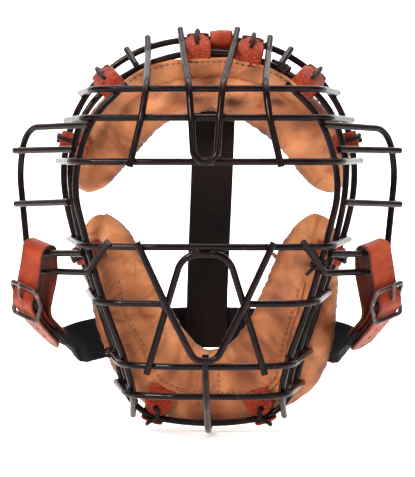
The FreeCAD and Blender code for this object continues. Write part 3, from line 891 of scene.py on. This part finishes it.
# the sewn edge of the chin pad's front flap: x, z
FLAP_EDGE = [
    (-69, -62), (-65, -80), (-56, -100), (-48, -114), (-43, -128), (-35, -137.5), (-24, -142.5), (-8, -145.5),
    (8, -146),
    (24, -146), (38, -144.5), (47, -139), (53, -130), (56, -114), (60, -97), (66, -78), (70, -62),
]


def smooth_line(points, step):
    """A smooth line through flat (x, z) points."""
    pts = [Vector((p[0], p[1])) for p in points]
    dense = []
    for i in range(len(pts) - 1):
        p0, p1, p2, p3 = pts[max(i - 1, 0)], pts[i], pts[i + 1], pts[min(i + 2, len(pts) - 1)]
        for k in range(ARC_STEPS):
            t = k / ARC_STEPS
            dense.append(smooth_between(p0, p1, p2, p3, t))
    dense.append(pts[-1])
    return [(p.x, p.y) for p in even([vec(p.x, p.y, 0) for p in dense], step)]


LINE_STEP = 2.0
FLAP_LINE = smooth_line(FLAP_EDGE, LINE_STEP)


def flap_step(x, z, y, normal):
    """The front flap of the chin pad stands a leather's thickness proud inside its sewn edge."""
    if normal.y > -0.1 or z < -150:
        return 0.0
    nearest = min(
        range(len(FLAP_LINE)), key=lambda i: (FLAP_LINE[i][0] - x) ** 2 + (FLAP_LINE[i][1] - z) ** 2
    )
    a = FLAP_LINE[max(nearest - 1, 0)]
    b = FLAP_LINE[min(nearest + 1, len(FLAP_LINE) - 1)]
    run = math.hypot(b[0] - a[0], b[1] - a[1])
    inside = ((b[0] - a[0]) * (z - a[1]) - (b[1] - a[1]) * (x - a[0])) / run
    below = 0.0
    if -9 < inside < 0:
        below = 0.0013 * math.sin(nearest * 1.35 + math.sin(nearest * 0.5)) * smooth_step(-inside / 4)
    return 0.0016 * smooth_step((inside + 0.2) / 1.2) + below * smooth_step((-z - 105) / 25)


def surface_of(obj):
    return BVHTree.FromObject(obj, bpy.context.evaluated_depsgraph_get())


# sewn edges, in millimetres: the rolled leather, and the row of stitches inside it
EDGE_RADIUS = 1.15
STITCH_PITCH = 4.2
STITCH_INSET = 2.6
# one stitch, in metres
STITCH_LENGTH = 0.0026
STITCH_RADIUS = 0.00042
# how many stations at each end of a pad its back edge leaves out
END_STATIONS = 4


def laid_on(tree, flat, back=False):
    """Points of a flat (x, z) line, in millimetres, brought onto the pad from the front or the back."""
    outward = REARWARD if back else -REARWARD
    found = []
    for x, z in flat:
        start = vec(x * MM, 0.2 if back else -0.2, z * MM)
        place, normal, index, distance = tree.ray_cast(start, -outward)
        if place is not None:
            found.append((place, normal if normal.dot(outward) > 0 else -normal))
    return found


def sewn_edge(name, tree, flat, inset_side, back):
    """A rolled leather edge and, just inside it, its row of stitches."""
    places = laid_on(tree, flat, back)
    middle = [p + n * (EDGE_RADIUS * 0.35 * MM) for p, n in places[::2] + [places[-1]]]
    bead = tube(name + "_bead", middle, EDGE_RADIUS * MM, TAN, 0.12)
    set_values(bead, "soil_and_shade", [0.18 + 0.25 * noise.noise(v.co * 70) for v in bead.data.vertices])
    offset = []
    inset = inset_side * STITCH_INSET
    for i in range(0, len(flat) - 1):
        a, b = flat[max(i - 1, 0)], flat[min(i + 1, len(flat) - 1)]
        run = math.hypot(b[0] - a[0], b[1] - a[1])
        offset.append((flat[i][0] - inset * (b[1] - a[1]) / run, flat[i][1] + inset * (b[0] - a[0]) / run))
    row = laid_on(tree, offset, back)
    evened = even([p for p, n in row], STITCH_PITCH * MM)
    marks = []
    for a, b in zip(evened, evened[1:]):
        near = min(row, key=lambda item: (item[0] - a).length)
        marks.append((a, b - a, near[1]))
    return bead, stitches(name + "_stitches", marks, STITCH_LENGTH, STITCH_RADIUS)


def offset_line(half, share):
    """A line on a pad at a share of its half width out from its middle, without the pad's ends."""
    stations = other_half(half) + half
    made = []
    for i, (x, z, w, s) in enumerate(stations):
        a, b = stations[max(i - 1, 0)], stations[min(i + 1, len(stations) - 1)]
        run = math.hypot(b[0] - a[0], b[1] - a[1])
        out = ((a[1] - b[1]) / run, (b[0] - a[0]) / run)
        made.append((x + out[0] * w * share, z + out[1] * w * share))
    return smooth_line(made[END_STATIONS:-END_STATIONS], LINE_STEP)


# soft dark spots, part soil and part painted shade: x, z, half width, half height, strength
FOREHEAD_SOIL_AND_SHADE = [
    (14, 70, 24, 5, 1.0), (48, 70, 18, 5, 1.0), (-20, 75, 28, 5, 0.65), (-66, 66, 14, 7, 0.6),
    (66, 52, 16, 7, 0.8),
    (-74, 34, 9, 16, 0.45), (74, 26, 8, 14, 0.5), (-92, 30, 5, 22, 0.5), (-14, 90, 5, 10, 0.35),
    (16, 94, 5, 9, 0.4), (50, 60, 20, 4, 0.5),
    (-82, 44, 12, 9, 0.35), (84, 28, 14, 8, 0.55), (-38, 92, 9, 7, 0.55), (34, 92, 8, 6, 0.6),
    (92, 40, 6, 20, 0.5),
    (-86, 14, 14, 7, 0.35), (-55, 90, 10, 5, 0.45), (60, 88, 10, 6, 0.6),
]
CHIN_SOIL_AND_SHADE = [
    (-72, -40, 16, 8, 0.8), (74, -46, 16, 9, 0.85), (-80, -66, 7, 18, 0.5), (82, -74, 7, 18, 0.55),
    (-52, -84, 7, 14, 0.4),
    (50, -80, 7, 14, 0.5), (0, -124, 34, 5, 0.45), (-34, -132, 12, 8, 0.45), (36, -130, 12, 8, 0.5),
    (0, -163, 46, 6, 0.55), (70, -28, 12, 6, 0.35), (-36, -118, 8, 9, 0.45), (30, -112, 12, 6, 0.4),
    (-60, -72, 10, 6, 0.35), (56, -66, 10, 8, 0.4), (-50, -150, 14, 7, 0.5), (48, -152, 14, 6, 0.55),
    (0, -152, 30, 4, 0.35),
    (76, -100, 8, 24, 0.3), (-24, -128, 6, 6, 0.3),
]


def make_pad(name, half, slump, soil_and_shade, flap, grooves, seed, reach, replaced):
    pad = pad_mesh(name, half, slump)
    seams = [i for i, a in enumerate(get_values(pad, "pad_around")) if abs(math.cos(a)) > 0.985]
    fill_with_air(pad, seams)
    subdivide(pad, 1)
    wrinkle(pad, creases_for(seed, reach, PAD_CREASES), flap, soil_and_shade, grooves)
    shade_smooth(pad.data)
    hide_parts(*replaced)
    parts_ride("mask", "pad_leather", pad)
    return pad


# folds in the leather: both ends (x, z), depth and half width
FOREHEAD_FOLDS = [
    (-30, 72.5, 22, 70, 1.0, 2.4), (22, 70, 66, 72.5, 1.5, 2.2), (30, 96, 22, 78, 0.9, 2.2),
    (-8, 98, -22, 80, 0.8, 2.6),
    (-40, 92, -52, 72, 0.8, 2.6), (44, 88, 52, 70, 1.0, 2.2), (-82, 58, -70, 36, 0.7, 3),
    (84, 56, 76, 34, 0.8, 3),
    (2, 98, 10, 82, 0.7, 3), (58, 84, 68, 62, 0.7, 2.4),
]
CHIN_FOLDS = [
    (-30, -104, -46, -126, 0.9, 2.2), (-20, -112, -28, -132, 0.8, 2.2), (20, -110, 34, -134, 1.1, 2.2),
    (34, -102, 50, -116, 0.9, 2.2),
    (-88, -50, -58, -42, 0.9, 2.6), (60, -52, 88, -46, 1.0, 2.6), (-10, -114, -12, -128, 0.6, 2),
    (12, -116, 16, -130, 0.6, 2),
    (-62, -88, -40, -82, 0.6, 2.4), (46, -80, 66, -84, 0.6, 2.4),
]
forehead = make_pad(
    "forehead_pad", FOREHEAD_PAD, {}, FOREHEAD_SOIL_AND_SHADE, None, FOREHEAD_FOLDS, 11, 0.145,
    ["forehead_pad_cover", "forehead_pad_stuffing"],
)
chin = make_pad(
    "chin_pad", CHIN_PAD, CHIN_SLUMP, CHIN_SOIL_AND_SHADE, flap_step, CHIN_FOLDS, 5, 0.165,
    ["chin_pad_cover", "chin_pad_stuffing"],
)

forehead_tree = surface_of(forehead)
chin_tree = surface_of(chin)
for name, *rest in (
    ("forehead_pad_back_edge", forehead_tree, offset_line(FOREHEAD_PAD, 0.78), -1, True),
    ("chin_pad_flap_edge", chin_tree, FLAP_LINE, 1, False),
    ("chin_pad_back_edge", chin_tree, offset_line(CHIN_PAD, -0.74), 1, True),
):
    parts_ride("mask", "pad_leather", *sewn_edge(name, *rest))

# ---------------------------------------------------------------- the forehead pad's lip, the chin pad's seam

# the rim wire's line, half of it: x, z
RIM = [
    (25, 117), (60, 106), (88, 82), (104, 50), (108.5, 14), (101, -24),
    (86.5, -64), (71, -110), (62, -146), (46, -162), (16, -167),
]
RIM_CORNERS = [vec(x * MM, 0, z * MM) for x, z in reversed(RIM)] + [vec(-x * MM, 0, z * MM) for x, z in RIM]
RIM_LINE = bent_path(RIM_CORNERS, [0.4] * len(RIM_CORNERS), 0.001)
# the lip's section: out from the rim, depth
LIP_SECTION = [
    (-28.5, 2.5), (-26.0, -3.4), (-22.0, -9.4), (-18.2, -14.6), (-15.9, -17.2), (-14.9, -16.2),
    (-15.1, -10.5), (-14.9, -2.0),
    (-14.6, 8.0), (-18.0, 12.0), (-26.0, 9.0),
]
# where along the lip, in x, the tabs hold it down
LIP_TABS = (-77, -7.7, 32.2, 77)
LIP_ENDS_Z = 0.069


def make_lip():
    """The top edge of the forehead pad, pulled forward over the tabs' roots, and its row of stitches."""
    line = [p for p in RIM_LINE if p.z > LIP_ENDS_Z][::3]
    ways = tangents(line)
    verts, marks = [], []
    size = len(LIP_SECTION)
    last = len(line) - 1
    for i, point in enumerate(line):
        out = vec(ways[i].z, 0, -ways[i].x)
        out = out if out.dot(point) > 0 else -out
        x = point.x * 1000
        between = 1 - max(gauss((x - tab) / 12) for tab in LIP_TABS)
        fade = smooth_step(min(i, last - i) / 9)
        deeper = 1 + 0.32 * smooth_step((abs(x) - 36) / 34) - 0.10 * between
        forward = deeper * fade + 0.1 * (1 - fade)
        lift = 1.2 * between + 0.5 * noise.noise(point * 70)
        ring = []
        for k, (r, y) in enumerate(LIP_SECTION):
            r = r + lift * smooth_step((r + 24) / 9) if r < -14.75 else r
            y = y * forward if y < 0 else y
            r = r - 3.0 * (1 - fade)
            y = y * MM + 0.0006 * noise.noise(point * 55 + vec(k, 0, 0))
            ring.append(point + out * (r * MM) + vec(0, y, 0))
        verts += ring
        near_edge = ring[3].lerp(ring[4], 0.25)
        front = (ring[4] - ring[2]).cross(ways[i]).normalized()
        marks.append((near_edge, front if front.y < 0 else -front, fade))
    faces = ring_faces(len(line), size)
    faces.append(tuple(range(size)))
    faces.append(tuple(reversed(range(last * size, last * size + size))))
    lip = make_object("forehead_pad_lip", verts, faces, TAN)
    turn_faces_out(lip)
    subdivide(lip, 2)
    shade_smooth(lip.data)
    soiled_and_shaded = []
    for vertex in lip.data.vertices:
        x, z = vertex.co.x * 1000, vertex.co.z * 1000
        fold = fold_depth(x, z, FOREHEAD_FOLDS)
        vertex.co += vertex.normal * (0.0007 * noise.noise(vertex.co * 80) - 0.0006 * fold)
        # soft dark spots from the forehead table, part soil and part painted shade, with noise
        soil_and_shade = 0.8 * spots(x, z, FOREHEAD_SOIL_AND_SHADE) + 0.35 * noise.noise(vertex.co * 60)
        soiled_and_shaded.append(max(0.0, min(1.0, soil_and_shade)))
    set_values(lip, "soil_and_shade", soiled_and_shaded)
    parts_ride("mask", "pad_leather", lip)
    row = even([m[0] for m in marks if m[2] > 0.6], STITCH_PITCH * MM)
    sewn = []
    for a, b in zip(row, row[1:]):
        near = min(marks, key=lambda m: (m[0] - a).length)
        sewn.append((a + near[1] * 0.0005, b - a, near[1]))
    parts_ride("mask", "pad_leather", stitches("forehead_pad_lip_stitches", sewn, STITCH_LENGTH, 0.00045))


SEAM_X, SEAM_TOP, SEAM_LENGTH = 7.6, -111, 34
centre_seam = laid_on(chin_tree, [(SEAM_X, SEAM_TOP - i) for i in range(SEAM_LENGTH)])
seam_marks = [
    (place, after - place, normal)
    for (place, normal), (after, _) in list(zip(centre_seam, centre_seam[1:]))[2:31:4]
]
seam = stitches("chin_pad_centre_stitches", seam_marks, STITCH_LENGTH, STITCH_RADIUS)
parts_ride("mask", "pad_leather", seam)


# ---------------------------------------------------------------- tabs and laces

make_lip()

LEAF_STEP = 0.0007
TAB_THICKNESS = 0.002
REAR_LEAF_THICKNESS = 0.0018
LACE_RADIUS = 0.0015
LACE_HOLE_RADIUS = 0.0023
KNOT_LACE_RADIUS = 0.0012
WOUND_LACE_RADIUS = 0.00125
LACE_TURNS = 3
WIRE_RADIUS = 2.38
# front and rear leaves of the tabs: out from the rim, depth
OVER_BOTH = [(-23, -1.2), (-16, -14.6), (-11.4, -16.6), (-6.5, -15.2), (2.6, -5.6)]
OVER_WIDE = [(-23, -1.2), (-16.5, -19.6), (-11.4, -22.2), (-6.5, -20.4), (2.6, -5.8)]
OVER_RIM = [(-17, -2.2), (-6, -4.4), (3.9, -4.2), (3.9, 3.9), (-5, 3.9)]
OVER_RIM_LONG = [(-23, 0.5), (-13, -4.2), (-2, -5.0)]
BEHIND = [(-15, 6.0), (-6, 4.4), (3.7, 3.7), (3.7, -2.8)]
# lace paths: out from the rim, depth, and along it towards the middle of the mask
LACE_BOTH = [
    (-5.2, -4.0, 0.3), (-5.4, -10.5, 0), (-4.2, -15.4, 0), (-0.6, -14.2, -0.4), (4.0, -8.4, -0.5),
    (6.6, -2.6, -0.2), (5.8, 4.2, 0.4),
    (0.5, 7.4, 0.6), (-6.0, 7.2, 0.2),
]
LACE_WIDE = [
    (-5.4, -8.0, 0.3), (-5.8, -16.0, 0), (-4.6, -20.4, 0), (-0.8, -17.0, -0.4), (4.0, -9.0, -0.5),
    (6.7, -2.8, -0.2), (5.8, 4.2, 0.4),
    (0.5, 7.4, 0.6), (-6.0, 7.2, 0.2),
]
LACE_RIM = [
    (-8.4, 1.0, 0), (-8.0, -5.4, 0), (-5.5, -6.6, 0.6), (0, -6.9, 1.2), (5.2, -5.9, 1.4), (6.6, -1.0, 1.2),
    (6.0, 4.6, 0.8)
]
LACE_JAW = [
    (-6.4, 1.5, 0), (-6.6, -4.4, 0), (-6.8, -7.4, 1.4), (-4.2, -8.2, 3.0), (-0.8, -8.0, 2.6),
    (2.4, -7.2, 0.2), (4.8, -5.2, -1.6),
    (6.7, -0.6, -2.2), (5.6, 4.8, -2.0), (0, 7.0, -1.0), (-5, 6.8, 0),
]

# x and z near the rim wire, front leaf, its width, lace, and how far the lace hole is from the tip
TABS = {
    "crown_tab_left": (-7.7, 119, OVER_BOTH, 19.5, LACE_BOTH, 6.6),
    "crown_tab_right": (32.2, 114, OVER_BOTH, 19.5, LACE_BOTH, 6.6),
    "temple_tab_left": (-77, 91, OVER_WIDE, 19, LACE_WIDE, 6.6),
    "temple_tab_right": (77, 91, OVER_WIDE, 20, LACE_WIDE, 6.6),
    "brow_tab_left": (-106, 43, OVER_RIM, 14, LACE_RIM, None),
    "brow_tab_right": (106, 43, OVER_RIM, 14, LACE_RIM, None),
    "cheek_tab_left": (-96, -42, OVER_RIM, 14, LACE_RIM, None),
    "cheek_tab_right": (96, -42, OVER_RIM, 14, LACE_RIM, None),
    "jaw_tab_left": (-42, -163, OVER_RIM_LONG, 20, LACE_JAW, 6.0),
    "jaw_tab_right": (42, -163, OVER_RIM_LONG, 20, LACE_JAW, 6.0),
}


def rim_station(x, z):
    """The nearest point of the rim wire, its direction there and the way out from it."""
    here = vec(x * MM, 0, z * MM)
    i = min(range(1, len(RIM_LINE) - 1), key=lambda k: (RIM_LINE[k] - here).length)
    way = (RIM_LINE[i + 1] - RIM_LINE[i - 1]).normalized()
    way = -way if way.x * x > 0 else way
    out = vec(way.z, 0, -way.x)
    return RIM_LINE[i], way, out if out.dot(RIM_LINE[i]) > 0 else -out


def rounded(line, full, radius_share=0.5):
    """A width rule for a strip whose far end is round."""
    length = distances(line)[-1]
    r = full * radius_share

    def width(share, travelled):
        tail = length - travelled
        return full * math.sqrt(max(0.004, 1 - (1 - tail / r) ** 2)) if tail < r else full

    return width


def make_tab(name, x, z, profile, width, lace_profile, hole):
    point, way, out = rim_station(x, z)

    def across_rim(flat):
        return [point + out * (r * MM) + REARWARD * (y * MM) + way * (side * MM) for r, y, side in flat]

    def leaf_line(section):
        return bent_path(across_rim([(r, y, 0) for r, y in section]), [0.004] * len(section), LEAF_STEP)

    line = leaf_line(profile)
    rise = -1 if (line[1] - line[0]).cross(way).y > 0 else 1
    front = leather_strip(
        name + "_leaf", line, [way] * len(line), rounded(line, width * MM), TAB_THICKNESS, PEBBLED,
        crown=0.0007 * rise, rumple=0.0003, wide=16, seed=x,
    )
    pieces = [front]
    if hole:
        at = -1 - int(hole * MM / LEAF_STEP)
        punch(front, [(line[at], (line[at] - line[at - 1]).normalized().cross(way))], LACE_HOLE_RADIUS, 0.012)
        rear_line = leaf_line(BEHIND)
        rear = leather_strip(
            name + "_rear_leaf", rear_line, [way] * len(rear_line), rounded(rear_line, (width - 3) * MM, 0.3),
            REAR_LEAF_THICKNESS, PEBBLED, rumple=0.0003, wide=14, seed=z,
        )
        pieces.append(rear)
    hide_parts(name)
    lace_line = across_rim(lace_profile)
    lace = tube(name + "_lace", lace_line, LACE_RADIUS, LACE, 0.14)
    tied = knot_points(lace_line[-1], way, out, 0.0021)
    knot = tube(name + "_lace_knot", tied, KNOT_LACE_RADIUS, LACE, 0.1)
    parts_ride("mask", "tab_leather", *pieces)
    parts_ride("mask", "lace_leather", lace, knot)
    return lace


def knot_points(centre, way, out, size):
    """A small overhand knot: a trefoil line round a point."""
    third = way.cross(out).normalized()
    made = []
    for k in range(19):
        t = 2 * math.pi * k / 18
        made.append(
            centre + way * (size * (math.sin(t) + 1.4 * math.sin(2 * t)) * 0.55)
            + out * (size * (math.cos(t) - 1.4 * math.cos(2 * t)) * 0.55) + third * (
                size * -0.7 * math.sin(3 * t)
            )
        )
    return made


laces = [make_tab(name, *numbers) for name, numbers in TABS.items()]
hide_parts("pad_laces")


def wound_lace(name, at, way):
    """A lace wound round a wire, with a knot and two loose ends."""
    way = Vector(way).normalized()
    side = way.cross(vec(0, 0, 1) if abs(way.z) < 0.9 else vec(0, 1, 0)).normalized()
    other = way.cross(side)
    radius = (WIRE_RADIUS + 1.15) * MM
    centre = Vector(at) * MM
    steps = LACE_TURNS * 10
    points = []
    for k in range(steps + 1):
        a = 2 * math.pi * k / 10
        advance = (k / steps - 0.5) * LACE_TURNS * 0.0026
        points.append(
            centre + way * advance + side * (radius * math.cos(a)) + other * (radius * math.sin(a))
        )
    points.insert(0, points[0] + side * 0.004 - way * 0.006)
    points.append(points[-1] + side * 0.005 + way * 0.006)
    wound = tube(name, points, WOUND_LACE_RADIUS, LACE, 0.12)
    tied = knot_points(centre + side * (radius + 0.0006), way, side, 0.0022)
    knot = tube(name + "_knot", tied, KNOT_LACE_RADIUS, LACE, 0.1)
    parts_ride("mask", "lace_leather", wound, knot)


wound_lace("lace_on_tie_right", (54.5, -13.5, 94.5), (0.8, 0, -0.6))
wound_lace("lace_on_left_jaw", (-66.6, -18, -113), (0.16, -1, 0))
wound_lace("lace_on_right_jaw", (66.6, -18, -113), (-0.16, -1, 0))
wound_lace("lace_on_right_cheek", (79.0, -66.2, -43), (0.26, 0, 0.97))


# ---------------------------------------------------------------- side straps and chapes

STRAP_ORIGIN = vec(121, -26.8, -38.6)
STRAP_ALONG = vec(0.701, 0.681, 0.211).normalized()
STRAP_OUT = STRAP_ALONG.cross(vec(0, -0.295, 0.955)).normalized()
STRAP_UP = STRAP_OUT.cross(STRAP_ALONG)
# the buckle's middle bar, and the straight lay of the strap below it: outward, upward
BUCKLE = (13.0, -33.0)
LAY = (-0.6, -0.8)
LAY_OUT = (0.8, -0.6)
LAY_START = (-6.2, -14.0)
# the ear guard wires' direction, and how far each strap has slid along them
WIRE_RUN = vec(0.665, 0.746, -0.049)
STRAP_SLIDE = {1: -4.2, -1: 0.0}
STRAP_WIDTH = 0.024
STRAP_THICKNESS = 0.0026
CHAPE_THICKNESS = 0.0015
STRAP_HOLE_RADIUS = 0.0014


def strap_point(side, out, up, along=0.0):
    origin = STRAP_ORIGIN + WIRE_RUN * STRAP_SLIDE[side]
    point = origin + STRAP_OUT * out + STRAP_UP * up + STRAP_ALONG * along
    return vec(side * point.x, point.y, point.z) * MM


def strap_way(side, way):
    return vec(side * way.x, way.y, way.z)


def from_bar(out, up):
    return (BUCKLE[0] + out, BUCKLE[1] + up)


def laid(offset, distance):
    out = LAY_START[0] + LAY_OUT[0] * offset + LAY[0] * distance
    up = LAY_START[1] + LAY_OUT[1] * offset + LAY[1] * distance
    return from_bar(out, up)


STRAP_PATH = [
    laid(-4.05, 24), laid(-4.05, 0), (-5.5, -14), (-5.5, 7.8), (5.6, 7.8), (9.6, -9),
    from_bar(-0.3, 12), from_bar(4.9, 2.5), from_bar(4.9, -2.5), from_bar(-0.3, -12), laid(4.5, 4),
    laid(4.5, 34),
]
STRAP_BENDS = [0, 14, 12, 5, 5, 30, 20, 8, 8, 12, 12, 0]
STRAP_HOLES = [laid(4.5, 9), laid(4.5, 19), laid(4.5, 29)]


def edge_marks(line, across, half, normal_side, first, last, pitch=0.004):
    """Stitch places along a strip, near one edge and on one face."""
    ways = tangents(line)
    places = even([p + across * half for p in line[first:last]], pitch)
    marks = []
    for a, b in zip(places, places[1:]):
        i = min(range(len(line)), key=lambda k: (line[k] + across * half - a).length)
        normal = ways[i].cross(across).normalized() * normal_side
        marks.append((a + normal * 0.0008, b - a, normal))
    return marks


def make_strap(side, word):
    line = bent_path([strap_point(side, *p) for p in STRAP_PATH], [b * MM for b in STRAP_BENDS], 0.0011)
    along = strap_way(side, STRAP_ALONG)
    length = distances(line)[-1]
    point_length = 0.016 if side < 0 else 0.004

    def width(share, travelled):
        tail = length - travelled
        full = STRAP_WIDTH * (1 + 0.012 * math.sin(travelled * 190 + side))
        return full * (0.16 + 0.84 * min(1.0, tail / point_length) ** 0.6) if tail < point_length else full

    strap = leather_strip(
        f"{word}_side_strap_leather", line, [along] * len(line), width, STRAP_THICKNESS, STRAP,
        rumple=0.0003, wide=18, seed=side * 3.1, facing=side,
    )
    lay_out = strap_way(side, STRAP_OUT * LAY_OUT[0] + STRAP_UP * LAY_OUT[1])
    punch(strap, [(strap_point(side, *hole), lay_out) for hole in STRAP_HOLES], STRAP_HOLE_RADIUS, 0.0046)
    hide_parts(f"{word}_side_strap")
    # painted shade: the flesh face is painted fully dark up where the strap loops round the ear guard wires,
    # and at three tenths of that lower down
    top = strap_point(side, 0, -10).z
    shown = [
        inner * (0.3 + 0.7 * smooth_step((v.co.z - top) / 0.012))
        for inner, v in zip(get_values(strap, "flesh_and_shade"), strap.data.vertices)
    ]
    strap.data.attributes["flesh_and_shade"].data.foreach_set("value", shown)
    parts_ride("mask", "strap_leather", strap)


def make_chape(side, word):
    """The short folded leather round the buckle's middle bar."""
    bar_radius, gap, half_thickness = 1.7, 0.08, 0.75
    wrap = bar_radius + gap + half_thickness
    half = [laid(1.85, 30), laid(1.85, 2), from_bar(wrap, -1.5), from_bar(wrap, wrap)]
    back = [from_bar(-wrap, wrap), from_bar(-wrap, -1.5), laid(-1.85, 2), laid(-1.85, 30)]
    bends = [b * MM for b in (0, 8, 8, wrap, wrap, 8, 8, 0)]
    line = bent_path([strap_point(side, *p) for p in half + back], bends, 0.0009)
    along = strap_way(side, STRAP_ALONG)
    chape = leather_strip(
        f"{word}_chape_leather", line, [along] * len(line), lambda t, s: STRAP_WIDTH, CHAPE_THICKNESS, STRAP,
        rumple=0.0002, wide=18, seed=side, facing=side,
    )
    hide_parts(f"{word}_chape")
    marks = []
    for edge in (-0.0098, 0.0098):
        marks += edge_marks(line, along, edge, side, 2, int(len(line) * 0.42))
    sewn = stitches(f"{word}_chape_stitches", marks, 0.0027, 0.0004)
    parts_ride("mask", "strap_leather", chape, sewn)


for side, word in ((1, "right"), (-1, "left")):
    make_strap(side, word)
    make_chape(side, word)


# ---------------------------------------------------------------- the crown loop

# the loop's path: depth, height
LOOP_REACH = [
    (28, 118.4), (14, 121.2), (4.4, 122.6), (-4.4, 122), (-4.4, 112.1), (4.0, 112.1), (8, 115.6), (14, 116.3),
    (28, 113.4),
]
loop_line = bent_path([vec(9.2, y, z) * MM for y, z in LOOP_REACH], [0.004] * len(LOOP_REACH), 0.0009)
LOOP_WIDTH = 0.0165
LOOP_THICKNESS = 0.0024
crown_loop = leather_strip(
    "crown_loop_leather", loop_line, [vec(1, 0, 0)] * len(loop_line), lambda t, s: LOOP_WIDTH,
    LOOP_THICKNESS, STRAP, crown=0.0003, rumple=0.0006, wide=18, seed=8.0,
)
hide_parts("crown_loop")
loop_marks = []
for edge in (0.0062, -0.0062):
    loop_marks += edge_marks(loop_line, vec(1, 0, 0), edge, 1, 3, int(len(loop_line) * 0.25), 0.003)
parts_ride("mask", "strap_leather", crown_loop, stitches("crown_loop_stitches", loop_marks, 0.0022, 0.0004))


# ---------------------------------------------------------------- the elastic harness


WEB_WIDTH = 0.032
WEB_THICKNESS = 0.002


def web_strip(name, sections, material):
    """Webbing through flat sections (centre, width direction), smooth between them."""
    centres = [Vector(c) * MM for c, w in sections]
    widths = [Vector(w).normalized() for c, w in sections]
    line, turns = [], []
    last = len(centres) - 1
    for i in range(last):
        p0, p1, p2, p3 = centres[max(i - 1, 0)], centres[i], centres[i + 1], centres[min(i + 2, last)]
        steps = max(4, int((p2 - p1).length / 0.002))
        for k in range(steps):
            t = k / steps
            line.append(smooth_between(p0, p1, p2, p3, t))
            turns.append(widths[i].lerp(widths[i + 1], smooth_step(t)).normalized())
    line.append(centres[-1])
    turns.append(widths[-1])
    return leather_strip(
        name, line, turns, lambda t, s: WEB_WIDTH, WEB_THICKNESS, material, rumple=0.0004, wide=22, seed=len(
            name
        )
    )


def half_band(side):
    """From the chape round to the middle of the back: each section's centre and width direction."""
    along = tuple(strap_way(side, STRAP_ALONG))
    return [(tuple(strap_point(side, *laid(0, s)) / MM), along) for s in (12, 22, 32)] + [
        ((side * 104, 19, -111), (side * 0.5, 0.4, 0.75)), ((side * 92, 38, -110), (side * 0.12, 0.1, 1)),
        ((side * 62, 60, -106), (0, 0, 1)), ((side * 24.3, 70, -104), (0, 0, 1)),
    ]


BAND = half_band(1) + [((0, 70.6, -104), (0, 0, 1))] + half_band(-1)[::-1]
band = web_strip("elastic_head_band", BAND, NAVY)
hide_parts("head_band_left", "head_band_right", "head_band_centre")
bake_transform(band)

CROWN_STRAP = [
    (9, 19, 117.6), (8, 28, 115.8), (6, 36.5, 106), (4, 38.5, 84), (1, 45, 10), (-2, 60, -55),
    (-3, 66.2, -83.7),
    (-3, 67.4, -98), (-3, 67.8, -119.5),
]
crown_strap = web_strip("elastic_crown_strap", [(c, (1, 0, 0)) for c in CROWN_STRAP], BROWN)
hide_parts("crown_strap", "crown_strap_foot")
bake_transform(crown_strap)


# ---------------------------------------------------------------- stage, light and camera

FLOOR = cad_box[0][2] - 0.0005


def make_stage():
    """A pale floor that curves up into a pale wall."""
    material = bpy.data.materials.new("stage_paper")
    material.use_nodes = True
    surface = material.node_tree.nodes["Principled BSDF"]
    surface.inputs["Base Color"].default_value = (0.93, 0.92, 0.91, 1)
    surface.inputs["Roughness"].default_value = 0.9
    surface.inputs["Specular IOR Level"].default_value = 0.1
    surface.inputs["Emission Color"].default_value = (1, 1, 1, 1)
    surface.inputs["Emission Strength"].default_value = 0.5
    verts, faces = [], []
    profile = [(-3.0, FLOOR)]
    sweep, steps = 0.8, 16
    for k in range(steps + 1):
        a = math.pi / 2 * k / steps
        profile.append((1.2 + sweep * math.sin(a), FLOOR + sweep * (1 - math.cos(a))))
    profile.append((2.0, 3.5))
    for y, z in profile:
        verts += [(-4, y, z), (4, y, z)]
    for i in range(len(profile) - 1):
        faces.append((2 * i, 2 * i + 1, 2 * i + 3, 2 * i + 2))
    make_object("stage_sweep", verts, faces, material)


def aimed(obj, place, aim):
    """Puts a lamp or camera in its place, looking at the aim."""
    obj.location = place
    obj.rotation_euler = (Vector(aim) - Vector(place)).to_track_quat("-Z", "Y").to_euler()
    return obj


def soft_light(name, place, aim, wide, high, power, colour=(1, 1, 1)):
    data = bpy.data.lights.new(name, "AREA")
    data.shape = "RECTANGLE"
    data.size, data.size_y = wide, high
    data.energy = power
    data.color = colour
    aimed(add_object(name, data), place, aim)


make_stage()
soft_light("key_light", (-0.9, -1.5, 1.1), (0, 0, 0), 0.45, 0.45, 48, (1.0, 0.95, 0.89))
soft_light("fill_light", (1.3, -1.3, 0.5), (0, 0, 0), 0.6, 0.6, 6, (1.0, 0.97, 0.94))
soft_light("top_light", (0.1, 0.0, 1.5), (0, 0, 0), 0.9, 0.9, 9)
soft_light("wall_light", (0, 0.5, 1.8), (0, 1.9, 0.1), 2.4, 0.8, 60)

world = bpy.data.worlds.new("studio")
world.use_nodes = True
world.node_tree.nodes["Background"].inputs["Color"].default_value = (1, 0.99, 0.98, 1)
world.node_tree.nodes["Background"].inputs["Strength"].default_value = 0.14
bpy.context.scene.world = world

camera_data = bpy.data.cameras.new("camera")
camera_data.sensor_fit = "VERTICAL"
camera_data.sensor_height = 36
camera_data.lens = 111
bpy.context.scene.camera = aimed(
    add_object("camera", camera_data), (0.0285, -1.0846, 0.036), (0.0014, -0.085, -0.0242)
)
bpy.context.scene.view_settings.view_transform = "Standard"
